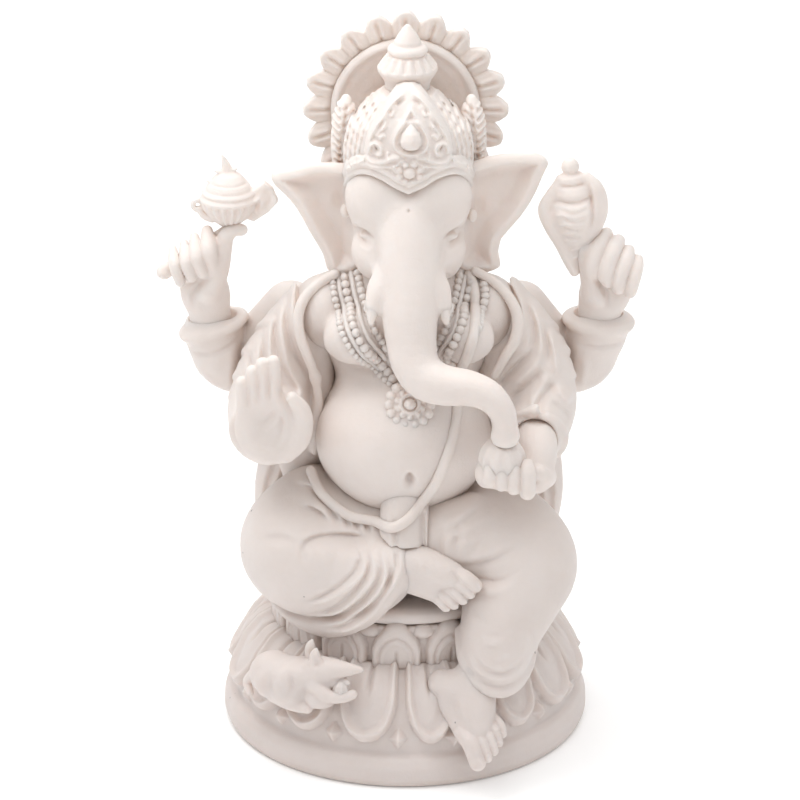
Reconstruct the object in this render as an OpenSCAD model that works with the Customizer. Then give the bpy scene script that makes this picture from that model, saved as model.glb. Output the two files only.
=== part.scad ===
// Seated four-armed elephant-headed idol on a double lotus, an assembly of white castings.
// X runs to the viewer's right, Y away from the viewer and Z up. The origin is the middle of the felt pad's underside.

/* [Overall] */
// Height of the idol from the shelf to the top of the halo
height = 152; // [110:1:240]

/* [Plinth] */
// Radius of the plinth's plain rim
rim_r = 38.5; // [38:0.25:41]
// Thickness of the felt pad
felt_t = 1; // [0.5:0.25:1.5]
// Top of the plain rim above the shelf
rim_top = 7; // [6:0.25:8]
// Number of large drooping petals
plinth_petal_count = 18; // [16:1:19]
// Radius of the hollow under the plinth
hollow_r = 26; // [20:1:27]

/* [Lotus seat] */
// Radius of the seat's drum
drum_r = 26.6; // [25:0.2:27]
// Number of upright petals
seat_petal_count = 15; // [11:1:15]
// Radius of the cushion slab
slab_r = 27; // [26:0.25:28]

/* [Halo] */
// Radius to the petal tips
halo_r = 21; // [19:0.5:23]
// Number of petals round the halo
halo_petal_count = 20; // [16:1:24]
// Thickness of the halo's disc
halo_t = 2.4; // [2:0.2:3]

/* [Pins] */
// Radius of the metal pins that join the castings
pin_r = 1.2; // [0.8:0.1:1.4]

/* [Hidden] */
design_height = 152;
drum_bottom = 22.6;
drum_top = 31.5;
slab_top = 35;
head_x = 0.6;
crown_z = 122;
crown_top = 137.5;
halo_z = design_height - halo_r;
halo_y = 11;
smooth = 16;
fine = 10;
digit_fn = 7;
round_fn = 72;
keepout_fn = 36;
white = "#f4efec";

// ---------- shape helpers ----------

// An ellipsoid at a point with three radii.
module ball(at, radii, fn = smooth)
    translate(at) scale(radii) hull() sphere(1, $fn = fn);

// A chain of round tapering links through [x, y, z, radius] points.
module limb(path, fn = fine)
    for (i = [0 : len(path) - 2]) hull() {
        for (p = [path[i], path[i + 1]]) translate([p.x, p.y, p.z]) sphere(p[3], $fn = fn);
    }

// A flat outline in X and Z, standing from y0 back to y1.
module upright(outline, y0, y1)
    translate([0, y1, 0]) rotate([90, 0, 0]) linear_extrude(y1 - y0) polygon(outline);

module ring(count, start = 0)
    for (i = [0 : count - 1]) rotate(start + i * 360 / count) children();

// A finger, thumb or toe through its root, knuckle and tip.
module digit(root, knuckle, tip, r)
    limb([concat(root, r), concat(knuckle, 0.93 * r), concat(tip, 0.82 * r)], digit_fn);

// A row of digits, each one step from the last.
module digits(count, root, knuckle, tip, step, r)
    for (i = [0 : count - 1]) translate(i * step) digit(root, knuckle, tip, r);

function mirrored(path) = [for (p = path) [2 * head_x - p.x, p.y, p.z, p[3]]];

module sized() scale(height / design_height) children();

// ---------- plinth ----------

module plinth_solid(fn = round_fn)
    rotate_extrude($fn = fn) polygon([
        [0, felt_t], [rim_r - 1, felt_t], [rim_r, felt_t + 1], [rim_r, rim_top - 1], [rim_r - 1, rim_top],
        [rim_r - 2.2, rim_top], [35.9, 10], [34.8, 14], [32.8, 18], [30, 21.2], [27.6, drum_bottom], [0, drum_bottom]
    ]);

module plinth_hollow(fn = round_fn) {
    translate([0, 0, felt_t - 1]) cylinder(h = 15, r = hollow_r, $fn = fn);
    translate([0, 0, felt_t - 1]) cylinder(h = 3.5, r = hollow_r + 2, $fn = fn);
}

module seat_pin_rod() translate([0, 2, 15]) cylinder(h = 30, r = 2 * pin_r, $fn = 32);

module felt_pad() color("#8a8580") sized() cylinder(h = felt_t, r = rim_r - 1.5, $fn = round_fn);

module base_plug() color("#d9d3cf") sized() difference() {
    union() {
        translate([0, 0, felt_t]) cylinder(h = 2.5, r = hollow_r + 2, $fn = round_fn);
        translate([0, 0, felt_t + 2]) cylinder(h = 3, r = hollow_r, $fn = round_fn);
    }
    translate([0, 0, felt_t]) cylinder(h = 5, r = hollow_r - 3, $fn = round_fn);
    translate([0, 0, 0]) cylinder(h = 8, r = 2, $fn = 24);
}

module plinth() color(white) sized() difference() {
    plinth_solid();
    plinth_hollow();
    seat_pin_rod();
}

// The hand-set petals along the front, in degrees from straight ahead; the rest are spread evenly round the back.
front_petals = [-53.5, -33.5, -12, 7.5, 23, 39, 59];
back_petal_step = (360 + front_petals[0] - front_petals[6]) / (plinth_petal_count - 6);
petal_angles = [
    for (i = [0 : plinth_petal_count - 1]) i < 7 ? front_petals[i] : front_petals[6] + (i - 6) * back_petal_step
];
leaf_angles = [
    for (i = [0 : plinth_petal_count - 1])
        (petal_angles[i] + (i < plinth_petal_count - 1 ? petal_angles[i + 1] : 360 + petal_angles[0])) / 2
];

// One drooping petal, hanging down the plinth's slope.
module plinth_petal()
    hull() {
        translate([29.3, 0, 21.3]) scale([1, 3.2, 1.2]) sphere(1.1, $fn = 6);
        translate([34.6, 0, 15.5]) scale([1, 3.6, 1.4]) sphere(1.5, $fn = 8);
        translate([35.8, 0, 10]) scale([1, 2.4, 1.6]) sphere(1.4, $fn = 6);
    }

module plinth_petals_form() for (a = petal_angles) rotate(a - 90) plinth_petal();

module plinth_petals() color(white) sized() difference() {
    plinth_petals_form();
    lotus_keepout();
}

module plinth_leaves() color(white) sized() difference() {
    for (a = leaf_angles) rotate(a - 90) hull() {
        translate([36, 0, 8.4]) scale([1, 1.3, 1.4]) sphere(1.1, $fn = 6);
        translate([35.6, 0, 10.6]) scale([1, 0.8, 0.8]) sphere(1, $fn = 6);
    }
    lotus_keepout();
    plinth_petals_form();
}

// ---------- lotus seat ----------

// The plinth, drum and cushion slab with flat sides that just clear their round ones, for other pieces to keep out of.
module lotus_keepout() scale([1 / cos(180 / keepout_fn), 1 / cos(180 / keepout_fn), 1]) {
    plinth_solid(keepout_fn);
    drum_solid(keepout_fn);
    slab_solid(keepout_fn);
}

module drum_solid(fn = round_fn)
    translate([0, 0, drum_bottom]) cylinder(h = drum_top - drum_bottom, r = drum_r, $fn = fn);

module slab_solid(fn = round_fn)
    translate([0, 0, drum_top]) rotate_extrude($fn = fn)
        polygon([[0, 0], [slab_r - 0.8, 0], [slab_r, 0.8], [slab_r, 2.6], [slab_r - 1, 3.5], [0, 3.5]]);

module lotus_seat() color(white) sized() difference() {
    drum_solid();
    seat_pin_rod();
}

module seat_slab() color(white) sized() difference() {
    slab_solid();
    seat_pin_rod();
}

module seat_petals() color(white) sized() difference() {
    ring(seat_petal_count, -94) hull() {
        translate([drum_r, 0, drum_bottom + 1.6]) scale([1, 3.1, 1]) sphere(1.5, $fn = 6);
        translate([drum_r + 0.3, 0, drum_bottom + 5]) scale([1, 2.8, 1.4]) sphere(1.6, $fn = 8);
        translate([drum_r + 0.2, 0, drum_top - 1.6]) scale([1, 1.3, 1]) sphere(1.3, $fn = 6);
    }
    lotus_keepout();
}

module seat_pin() color("silver") sized() seat_pin_rod();

// ---------- body ----------

// The belly, chest, hips and two breasts: a centre, three radii and a facet count for each.
body_balls = [
    [[-0.5, -6, 66], [18.5, 20, 17], 20],
    [[0.5, 0, 86], [17.5, 14.5, 15], 20],
    [[0, 4, 46], [21, 16, 14], 16],
    [[-10.5, -10.5, 89], [6, 6, 5.5], 14],
    [[12, -10.5, 89], [6, 6, 5.5], 14]
];

module torso_form() {
    for (b = body_balls) ball(b[0], b[1], b[2]);
    limb([[-17, 2, 92, 6], [0, 1, 96, 7], [17, 2, 92, 6]]);
    ball([head_x, 1, 100], [8, 8, 6], 14);
}

// How far forward the body's surface stands at a given place.
function bulge(x, z, at, r) = 1 - pow((x - at.x) / r.x, 2) - pow((z - at.z) / r.z, 2);
function front_y(x, z) = min([
    for (b = body_balls) let (d = bulge(x, z, b[0], b[1])) d > 0 ? b[0].y - b[1].y * sqrt(d) : 0
]);
function laid(path, r) = [for (p = path) [p.x, front_y(p.x, p[1]) - 0.5, p[1], r]];

right_leg_path = [[-13, 2, 45, 11], [-22, -12, 43.5, 12.5], [-13, -19, 40.5, 10.5], [-3, -26.5, 42.5, 6.3]];
left_leg_path = [[12, 2, 46, 11.5], [24.5, -19, 43, 11], [21, -27, 33, 7.6], [19, -31, 25, 5.4]];

module right_leg_form() limb(right_leg_path, 16);
module left_leg_form() limb(left_leg_path, 16);

module right_foot_form() {
    limb([[-3, -26.5, 43, 4], [2, -27.5, 43, 4.2], [9, -29, 41.8, 3.4]]);
    digits(5, [9, -29.5, 42.4], [11, -30.6, 42.7], [13.2, -31.4, 42.6], [-1.1, 0.2, -1.5], 1.6);
}

module left_foot_form() {
    limb([[8, -30.5, 20, 3.2], [15, -31.5, 22, 4.2], [14, -37, 14.5, 3.6]]);
    digits(5, [12.4, -38.4, 12.6], [13.8, -40.2, 10], [14.6, -41.2, 8], [1.1, 0.4, 0.6], 1.5);
}

module sash_form() hull() {
    translate([2.6, -21, 58]) scale([2.6, 1, 1]) sphere(1.3, $fn = fine);
    translate([2.9, -26, 48.5]) scale([2.6, 1, 1]) sphere(1.3, $fn = fine);
}

module neck_pin_rod() translate([head_x, 1, 93]) cylinder(h = 18, r = 1.6 * pin_r, $fn = 32);

module torso() color(white) sized() difference() {
    torso_form();
    neck_pin_rod();
    seat_pin_rod();
    translate([-50, -50, -50]) cube([100, 100, 50 + slab_top]);
}

module right_leg() color(white) sized() difference() {
    right_leg_form();
    torso_form();
    left_leg_form();
    right_foot_form();
    lotus_keepout();
    seat_petals_zone();
}

module left_leg() color(white) sized() difference() {
    left_leg_form();
    torso_form();
    left_foot_form();
    lotus_keepout();
    seat_petals_zone();
}

// The seat's drum with its petals, as one plain cylinder that the legs stay out of.
module seat_petals_zone()
    translate([0, 0, drum_bottom - 1]) cylinder(h = drum_top - drum_bottom + 1, r = drum_r + 2.1, $fn = keepout_fn);

module right_foot() color(white) sized() difference() {
    right_foot_form();
    left_leg_form();
    lotus_keepout();
}

module left_foot() color(white) sized() difference() {
    left_foot_form();
    lotus_keepout();
    seat_petals_zone();
    plinth_petals_form();
}

module waist_sash() color(white) sized() difference() {
    sash_form();
    torso_form();
    right_leg_form();
    left_leg_form();
    thread_form();
}

// ---------- shawl and arms ----------

module shawl_form() difference() {
    union() {
        ball([0.5, 2, 86], [19.5, 14.2, 16.5], 20);
        ball([0, 4, 66], [20, 15, 20], 24);
        ball([0, 5, 47], [22.5, 17, 14]);
    }
    translate([-60, -62, 0]) cube([120, 60.5, 200]);
    translate([0, -10, 108]) scale([14, 19, 15]) sphere(1, $fn = smooth);
}

// A shawl end hangs from each elbow, behind the thighs, down to the seat.
module shawl_ends_form() {
    limb([[-22.5, 7, 70, 6], [-25, 8, 58, 5.2], [-28, 9, 48, 4], [-28, 9, 38, 2.6]]);
    limb([[23, 7, 72, 6], [27, 6, 60, 5.2], [29.5, 7, 48, 4], [29, 9, 37, 2.4]]);
}

right_sleeve_path = [[-18, 1, 92, 7.5], [-26.5, -1, 80, 7.5], [-28.5, -5, 67, 7.8], [-28, -14, 66, 6]];
left_sleeve_path = [[18.5, 1, 92, 7.5], [27, -1, 80, 8], [29, -6, 71, 7.8], [27, -17, 69, 6.2]];

module right_sleeve_form() limb(right_sleeve_path, 14);
module left_sleeve_form() limb(left_sleeve_path, 14);

module shawl() color(white) sized() difference() {
    shawl_form();
    torso_form();
    right_leg_form();
    left_leg_form();
    right_sleeve_form();
    left_sleeve_form();
    translate([-50, -50, -50]) cube([100, 100, 50 + slab_top]);
}

module shawl_ends() color(white) sized() difference() {
    shawl_ends_form();
    shawl_form();
    torso_form();
    right_leg_form();
    left_leg_form();
    right_sleeve_form();
    left_sleeve_form();
    right_rear_form();
    left_rear_form();
    lotus_keepout();
}

module right_front_hand_form() {
    limb([[-28, -14, 66, 4], [-27.5, -19.5, 68.5, 4]]);
    hull() {
        translate([-28, -20.5, 72]) scale([6, 2.6, 5]) sphere(1, $fn = 14);
        translate([-29, -21.5, 79]) scale([5.6, 2.3, 4]) sphere(1, $fn = 14);
    }
    digit([-33, -21.8, 80], [-32.8, -21.8, 83], [-32, -21.6, 86], 1.5);
    digits(3, [-30.7, -21.8, 80], [-30.2, -21.8, 84], [-29.7, -21.6, 88.3], [2.3, 0, -0.2], 1.5);
    digit([-23.5, -20, 73], [-22.5, -22.5, 78], [-24.3, -23.8, 81.4], 2);
}

module right_sleeve() color(white) sized() difference() {
    right_sleeve_form();
    torso_form();
    right_leg_form();
    right_front_hand_form();
}

module right_front_hand() color(white) sized() right_front_hand_form();

module left_front_hand_form() {
    limb([[27, -17, 69, 4], [25.5, -23, 67, 4]]);
    ball([22, -27.5, 65.6], [6.6, 5.2, 3.4], 14);
    digits(4, [17.4, -30.5, 62.8], [16.7, -32.6, 64.6], [17, -32, 67.2], [2.8, 0, -0.2], 1.6);
    digit([27, -27, 66], [27.8, -29.5, 69], [26, -30.5, 71], 2);
}

module left_sleeve() color(white) sized() difference() {
    left_sleeve_form();
    torso_form();
    left_leg_form();
    left_front_hand_form();
}

module left_front_hand() color(white) sized() difference() {
    left_front_hand_form();
    modak_solid();
    left_leg_form();
}

module modak_solid(fn = 32)
    translate([19.8, -29, 66.5]) rotate_extrude($fn = fn)
        polygon([[0, 0], [3.4, 0.6], [4.6, 2.6], [4.4, 4.6], [3, 6.6], [1.2, 7.6], [0, 8]]);

module modak() color(white) sized() modak_solid();

right_rear_path = [[-24, 9, 88, 6], [-35, 8.5, 76, 6.2], [-38.8, 7, 81, 6.4], [-40, 6, 86.5, 6.9]];
left_rear_path = [[24, 9, 88, 6], [34.8, 8.5, 75, 6.2], [38.2, 7, 80.5, 6.5], [40, 6, 88, 7.2]];

module right_rear_form() limb(right_rear_path, 14);
module left_rear_form() limb(left_rear_path, 14);

module wrist_rod(at) translate(at) cylinder(h = 14, r = pin_r, $fn = 24);

right_wrist = [-40.2, 6, 77];
left_wrist = [39.8, 6, 78];

module right_rear_hand_form() {
    limb([[-40.6, 6, 86, 4.4], [-41, 5, 90, 4.5], [-40.8, 4, 96, 5]]);
    digits(4, [-44.4, 3, 98], [-45.4, 0, 101.4], [-44.8, 1.8, 103.4], [2.4, 0, 1.1], 1.65);
    digit([-38.5, 3, 97], [-37.6, 2, 103], [-34, 1.6, 108], 2);
}

module left_rear_hand_form() {
    limb([[40.2, 6, 87, 4.6], [40.4, 5, 91, 4.6], [41, 4, 96, 5]]);
    digits(4, [38.6, 1.5, 99], [39.8, -1.6, 101.6], [39, 0.4, 104.6], [2.4, 0, -1], 1.75);
    digit([37, 3, 96], [35.6, 1, 102], [35.4, 0.6, 105.6], 2.1);
}

module right_rear_sleeve() color(white) sized() difference() {
    right_rear_form();
    torso_form();
    shawl_form();
    right_sleeve_form();
    right_rear_hand_form();
    wrist_rod(right_wrist);
}

module left_rear_sleeve() color(white) sized() difference() {
    left_rear_form();
    torso_form();
    shawl_form();
    left_sleeve_form();
    left_rear_hand_form();
    wrist_rod(left_wrist);
}

module right_wrist_pin() color("silver") sized() wrist_rod(right_wrist);
module left_wrist_pin() color("silver") sized() wrist_rod(left_wrist);

// The axe lies in a frame of its own: x runs along the handle, from its free end to the blade.
module in_axe_frame() translate([-49.5, 2.5, 99]) rotate([0, -31, 0]) children();

module axe_rod() in_axe_frame() rotate([0, 90, 0]) cylinder(h = 17, r = 1.3, $fn = 24);

// A ribbed bowl, a banded dome and a spire on one axis, with a flared blade on one side and a knob on the other.
module axe_head_form() {
    translate([-36, 2.5, 108.1]) rotate_extrude($fn = 32) polygon([
        [0, 0], [2.6, 0.3], [5.2, 2.2], [6.3, 4.4], [6, 5.6], [4.6, 6.6], [4.8, 8], [3.8, 9.6], [2, 10.6],
        [1.4, 12.4], [0.5, 14.6], [0, 14.8]
    ]);
    upright([[-33, 110.8], [-27.2, 112.4], [-27.4, 114.6], [-28.8, 118.6], [-33, 115]], 1.4, 3.6);
    translate([-42.4, 2.5, 113.4]) sphere(1.5, $fn = 24);
}

module axe_handle() color(white) sized() axe_rod();

module axe_head() color(white) sized() difference() {
    axe_head_form();
    axe_rod();
}

module right_rear_hand() color(white) sized() difference() {
    right_rear_hand_form();
    axe_rod();
    axe_head_form();
    wrist_rod(right_wrist);
}

// A stepped spire over a full body that tapers down into the hand, with a flared lip on the inner side.
module conch_form() {
    translate([36, 2.2, 101]) rotate([0, -6.5, 0]) rotate_extrude($fn = 32) polygon([
        [0, 0], [2, 0.6], [2.7, 4], [4.4, 8.2], [5.6, 11.6], [5.2, 14], [4.2, 14.6], [4, 16.6], [3, 17.2],
        [2.6, 19], [1.7, 19.6], [1.2, 21.6], [0, 22.6]
    ]);
    upright([[34, 103.6], [31, 105.6], [28.2, 110.4], [28.4, 114], [31, 116.6], [34, 116]], 0.6, 3.4);
}

module conch() color(white) sized() conch_form();

module left_rear_hand() color(white) sized() difference() {
    left_rear_hand_form();
    conch_form();
    wrist_rod(left_wrist);
}

// ---------- head ----------

trunk_path = [
    [0.7, -9.5, 111, 8.2], [0.8, -15, 104, 6.6], [0.9, -17.5, 97, 5.6], [1.3, -20, 91, 4.9], [3.4, -22.8, 86.6, 4.6],
    [7.5, -25.5, 85, 4.1], [12.5, -28, 85.6, 3.6], [17, -29.6, 84, 3.2], [19.8, -30.4, 80.4, 2.9], [20.1, -30.2, 76, 2.9]
];

module head_form() {
    ball([head_x, -1, 115.5], [12.6, 11.4, 12.5], 20);
    for (side = [-1, 1]) {
        ball([head_x + side * 5.8, -6.2, 119.4], [6.6, 6, 6.4], 14);
        ball([head_x + side * 6, -7.5, 107.5], [5, 5.4, 6], 14);
        ball([head_x + side * 5.6, -13.5, 101.6], [2.6, 3.4, 3.4], fine);
    }
    ball([head_x, -7, 101.5], [6, 6, 4.4], 14);
    limb(trunk_path, 14);
}

module head() color(white) sized() difference() {
    head_form();
    torso_form();
    neck_pin_rod();
    halo_rod();
    modak_solid();
    left_front_hand_form();
}

module neck_pin() color("silver") sized() neck_pin_rod();

right_ear_outline = [
    [-9, 122.6], [-15.4, 123.4], [-21, 122.6], [-27.2, 120.4], [-24.6, 117.6], [-21.6, 113.6], [-18.6, 108.6],
    [-16.6, 104], [-15.6, 99.8], [-11.4, 100.8], [-9, 104]
];
left_ear_outline = [
    [10, 122.6], [15, 124], [21.4, 125], [28.2, 124.2], [26.6, 119], [24.2, 113.8], [20.2, 108.6],
    [18.4, 105], [18.8, 101], [13, 100.2], [10, 104]
];

module right_ear() color(white) sized() difference() {
    upright(right_ear_outline, -0.6, 2.6);
    head_form();
    torso_form();
    shawl_form();
    crown_form();
}

module left_ear() color(white) sized() difference() {
    upright(left_ear_outline, -0.6, 2.6);
    head_form();
    torso_form();
    shawl_form();
    crown_form();
}

tusk_path = [[-5.6, -15.4, 101.4, 1.6], [-6.6, -17, 99.6, 1.2], [-6.8, -18.2, 98, 0.7]];

module tusks() color(white) sized() difference() {
    union() {
        limb(tusk_path, 10);
        limb(mirrored(tusk_path), 10);
    }
    head_form();
}

// ---------- crown ----------

module crown_form(grow = 0) intersection() {
    ball([head_x, 0, crown_z], [13.2 + grow, 11 + grow, 16.6 + grow], 20);
    translate([-30, -30, crown_z - 1.5]) cube([60, 60, crown_top - crown_z + 1.5 + grow]);
}

module halo_rod() translate([0, 6, 130]) rotate([-90, 0, 0]) cylinder(h = 6.2, r = pin_r, $fn = 24);

module crown_dome() color(white) sized() difference() {
    crown_form();
    head_form();
    halo_rod();
    halo_space();
    jewel_solid();
}

tiara_outline = [
    [0, 119], [3, 120.6], [7, 122.6], [12.4, 121.6], [12, 126], [9.4, 130.4], [6.6, 135.4], [3.6, 139], [0, 141],
    [-3.6, 139], [-6.6, 135.4], [-9.4, 130.4], [-12, 126], [-12.4, 121.6], [-7, 122.6], [-3, 120.6]
];

module tiara_form() intersection() {
    union() {
        ball([head_x, -1.2, crown_z], [13.6, 12.2, 18.6], 20);
        ball([head_x, -6.2, 119.4], [12.2, 8, 8], 16);
    }
    translate([head_x, 0, 0]) upright(tiara_outline, -20, -2);
}

module crown_tiara() color(white) sized() difference() {
    tiara_form();
    crown_form();
    head_form();
    finial_solid();
    jewel_solid();
}

// A drop-shaped stone that leans back with the front plate.
module jewel_solid() translate([head_x, -11.8, 128]) rotate([-14, 0, 0]) rotate_extrude($fn = 32)
    polygon([[0, 0], [1.5, 0.5], [2.4, 2.2], [2, 4], [1, 5.8], [0, 7.6]]);

module crown_jewel() color(white) sized() jewel_solid();

plume_path = [[-13, 4.6, 121.6, 1.9], [-14.2, 5.4, 126, 1.9], [-14, 6.4, 130, 1.5], [-12.6, 7, 133, 0.9]];

module crown_plumes() color(white) sized() difference() {
    union() {
        limb(plume_path, 10);
        limb(mirrored(plume_path), 10);
    }
    crown_form();
    head_form();
}

module finial_solid(fn = 40)
    translate([0.3, 0, crown_top]) rotate_extrude($fn = fn)
        polygon([[0, 0], [5.2, 0], [5.4, 1], [6.3, 3.2], [5.2, 4.6], [4, 6.8], [4.4, 7.6], [4.4, 8.6], [3, 9.2],
                 [1.6, 11.6], [0, 13.4]]);

module crown_finial() color(white) sized() finial_solid();

// ---------- halo ----------

module halo_space() translate([-40, halo_y, 90]) cube([80, 20, 80]);

module halo_disc() color(white) sized() difference() {
    translate([0, halo_y, halo_z]) rotate([-90, 0, 0]) rotate_extrude($fn = round_fn)
        polygon([[0, 0.8], [13.2, 0.8], [13.6, 0], [15.2, 0], [15.6, 0.6], [15.6, halo_t], [0, halo_t]]);
    halo_rod();
}

module halo_petals() color(white) sized()
    translate([0, halo_y + halo_t, halo_z]) rotate([90, 0, 0]) difference() {
        linear_extrude(halo_t - 0.4) polygon([
            for (i = [0 : halo_petal_count - 1], k = [0 : 3])
                let (a = 90 + (i + [-0.5, -0.3, 0, 0.3][k]) * 360 / halo_petal_count,
                     r = [halo_r - 3, halo_r - 1.2, halo_r, halo_r - 1.2][k])
                [r * cos(a), r * sin(a)]
        ]);
        translate([0, 0, -1]) cylinder(h = halo_t + 2, r = 15.6, $fn = round_fn);
    }

module halo_pin() color("silver") sized() halo_rod();

// ---------- jewellery ----------

// Each string is a list of [x, z] places from the neck to the middle, mirrored to the other side.
outer_string = [[-14.6, 99], [-14, 93.4], [-11.4, 86.8], [-7, 82.6], [-3, 80.6]];
middle_string = [[-12, 99], [-10.4, 92.6], [-7.6, 87.2], [-3, 83.2]];
inner_string = [[-9.4, 99.6], [-8.2, 94], [-5.6, 89.4], [-2, 86.4]];
strings = [outer_string, middle_string, inner_string];

module strings_form() for (s = strings) {
    limb(laid(s, 1.1), 5);
    limb(mirrored(laid(s, 1.1)), 5);
}

module pendant_form() translate([1, front_y(1, 79.6) - 0.6, 79.6]) rotate([-60, 0, 0]) rotate([90, 0, 0])
    hull() {
        translate([0, 0, -0.8]) cylinder(h = 1.6, r = 4.6, $fn = 20);
        translate([0, 0, 1]) cylinder(h = 0.4, r = 2.6, $fn = 20);
    }

module necklaces() color(white) sized() difference() {
    strings_form();
    torso_form();
    head_form();
    pendant_form();
    thread_form();
}

module pendant() color(white) sized() difference() {
    pendant_form();
    torso_form();
    head_form();
    thread_form();
}

thread_places = [
    [12, 99], [14, 94], [13.6, 88], [12, 83], [10.6, 78], [10, 72], [8.6, 65], [5.6, 59], [1, 55.4], [-5.6, 54.6],
    [-11, 57], [-15, 60.6]
];

module thread_form() limb(laid(thread_places, 1.2), 8);

module sacred_thread() color(white) sized() difference() {
    thread_form();
    torso_form();
    head_form();
    right_leg_form();
    left_leg_form();
}

// ---------- mouse ----------

module mouse_form() {
    limb([[-29, -24.5, 19.6, 4], [-25.4, -27.4, 21.2, 4.6], [-20.8, -30, 22.8, 4.2], [-15.4, -32, 24.2, 3],
          [-9.6, -34, 25.4, 0.9]], 14);
    for (ear = [[-18.4, -31.4, 27.6], [-20, -28, 27.6]]) ball(ear, [1.7, 0.8, 2], 8);
    limb([[-18, -33, 20, 1.5], [-13.8, -35, 19.4, 1.1]], 8);
    limb([[-27, -28.6, 17.6, 2], [-24, -31, 15.6, 1.2]], 8);
}

module sweet_solid() translate([-13.2, -34.6, 21.2]) rotate_extrude($fn = 24)
    polygon([[0, -1.6], [1.3, -1.2], [1.8, 0], [1.2, 1.3], [0, 2]]);

module mouse() color(white) sized() difference() {
    mouse_form();
    sweet_solid();
    lotus_keepout();
    seat_petals_zone();
    plinth_petals_form();
    right_leg_form();
}

module mouse_sweet() color(white) sized() sweet_solid();

// ---------- one node at a time ----------

felt_pad();
base_plug();
plinth();
plinth_petals();
plinth_leaves();
lotus_seat();
seat_petals();
seat_slab();
seat_pin();
torso();
right_leg();
left_leg();
right_foot();
left_foot();
waist_sash();
shawl();
shawl_ends();
right_sleeve();
left_sleeve();
right_front_hand();
left_front_hand();
modak();
right_rear_sleeve();
left_rear_sleeve();
right_rear_hand();
left_rear_hand();
right_wrist_pin();
left_wrist_pin();
axe_handle();
axe_head();
conch();
head();
neck_pin();
right_ear();
left_ear();
tusks();
crown_dome();
crown_tiara();
crown_jewel();
crown_plumes();
crown_finial();
halo_disc();
halo_petals();
halo_pin();
necklaces();
pendant();
sacred_thread();
mouse();
mouse_sweet();
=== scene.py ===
"""Seated four-armed elephant-headed idol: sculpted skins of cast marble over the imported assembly.

Lengths are in design millimetres, turned to metres by UNIT, in the frame's own axes. Shapes are drawn with
points written as "x y z radius, x y z radius" or, for marks seen from in front, "x z, x z".
"""

import math

import bpy
import numpy as np
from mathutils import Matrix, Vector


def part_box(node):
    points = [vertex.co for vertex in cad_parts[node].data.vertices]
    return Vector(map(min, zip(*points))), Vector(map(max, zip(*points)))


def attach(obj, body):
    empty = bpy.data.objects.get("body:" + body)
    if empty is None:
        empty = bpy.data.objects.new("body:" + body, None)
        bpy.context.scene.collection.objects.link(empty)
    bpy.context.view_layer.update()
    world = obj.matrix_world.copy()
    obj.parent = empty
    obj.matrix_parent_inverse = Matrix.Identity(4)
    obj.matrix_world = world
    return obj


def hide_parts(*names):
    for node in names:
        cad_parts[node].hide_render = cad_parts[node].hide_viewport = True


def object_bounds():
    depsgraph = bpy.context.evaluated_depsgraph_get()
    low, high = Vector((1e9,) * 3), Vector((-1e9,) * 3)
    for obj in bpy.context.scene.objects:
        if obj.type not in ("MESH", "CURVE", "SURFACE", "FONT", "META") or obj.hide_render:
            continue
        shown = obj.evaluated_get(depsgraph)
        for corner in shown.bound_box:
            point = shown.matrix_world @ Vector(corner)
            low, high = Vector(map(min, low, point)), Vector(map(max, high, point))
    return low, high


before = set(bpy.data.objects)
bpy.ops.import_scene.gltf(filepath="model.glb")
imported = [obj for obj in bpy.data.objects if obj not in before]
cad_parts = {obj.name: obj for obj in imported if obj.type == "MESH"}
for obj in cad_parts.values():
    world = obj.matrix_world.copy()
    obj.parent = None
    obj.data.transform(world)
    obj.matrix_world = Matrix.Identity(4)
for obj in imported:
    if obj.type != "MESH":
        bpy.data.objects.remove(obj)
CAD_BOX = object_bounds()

DESIGN_HEIGHT = 152
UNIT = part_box("halo_petals")[1][2] / DESIGN_HEIGHT
COARSE = 1.0
FAR = 9.0
ANY_DEPTH = (-999, 999)
BODY = "root"
TURN = 2 * math.pi
SIDES = (-1, 1)
HEAD_X = 0.6


# ---------- measures taken from the frame ----------


def box(node):
    """The lowest and highest corners of a node, in design millimetres."""
    low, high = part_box(node)
    return np.array(low) / UNIT, np.array(high) / UNIT


# ---------- points and lines ----------


def rows(points):
    """Points as an array, from lists or from text."""
    if isinstance(points, str):
        points = [p.split() for p in points.split(",")]
    return np.array(points, float)


def mirrored(side, points, mid=None):
    """Points given by their distance from the middle, put on one side (-1 or 1) of it."""
    p = rows(points)
    p[:, 0] = (HEAD_X if mid is None else mid) + side * p[:, 0]
    return p


def run_of(line):
    """How far along a line each of its points lies."""
    return np.concatenate([[0], np.cumsum(np.linalg.norm(np.diff(line, axis=0), axis=1))])


def curve(points, count):
    """A smooth line through points of any width, resampled evenly."""
    p = rows(points)
    if len(p) < 3:
        p = np.array([p[0], (p[0] + p[-1]) / 2, p[-1]])
    ends = np.vstack([2 * p[0] - p[1], p, 2 * p[-1] - p[-2]])
    out = []
    for a, b, c, d in zip(ends, ends[1:], ends[2:], ends[3:]):
        for t in np.linspace(0, 1, 12, endpoint=False):
            out.append(0.5 * (2 * b + (c - a) * t + (2 * a - 5 * b + 4 * c - d) * t**2
                              + (3 * b - a - 3 * c + d) * t**3))
    out = np.array(out + [p[-1]])
    run = run_of(out[:, :3])
    wanted = np.linspace(0, run[-1], count)
    return np.stack([np.interp(wanted, run, column) for column in out.T], axis=1)


def hoop(at, across, deep, tilt, r, count=14):
    """A closed ring of [x, y, z, r] points round an upward cuff, tilted about Y."""
    slope = math.tan(math.radians(tilt))
    x, y, z = at
    turns = [k * TURN / count for k in range(count + 1)]
    return [[x + across * math.cos(a), y + deep * math.sin(a), z + slope * across * math.cos(a), r]
            for a in turns]


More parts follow.
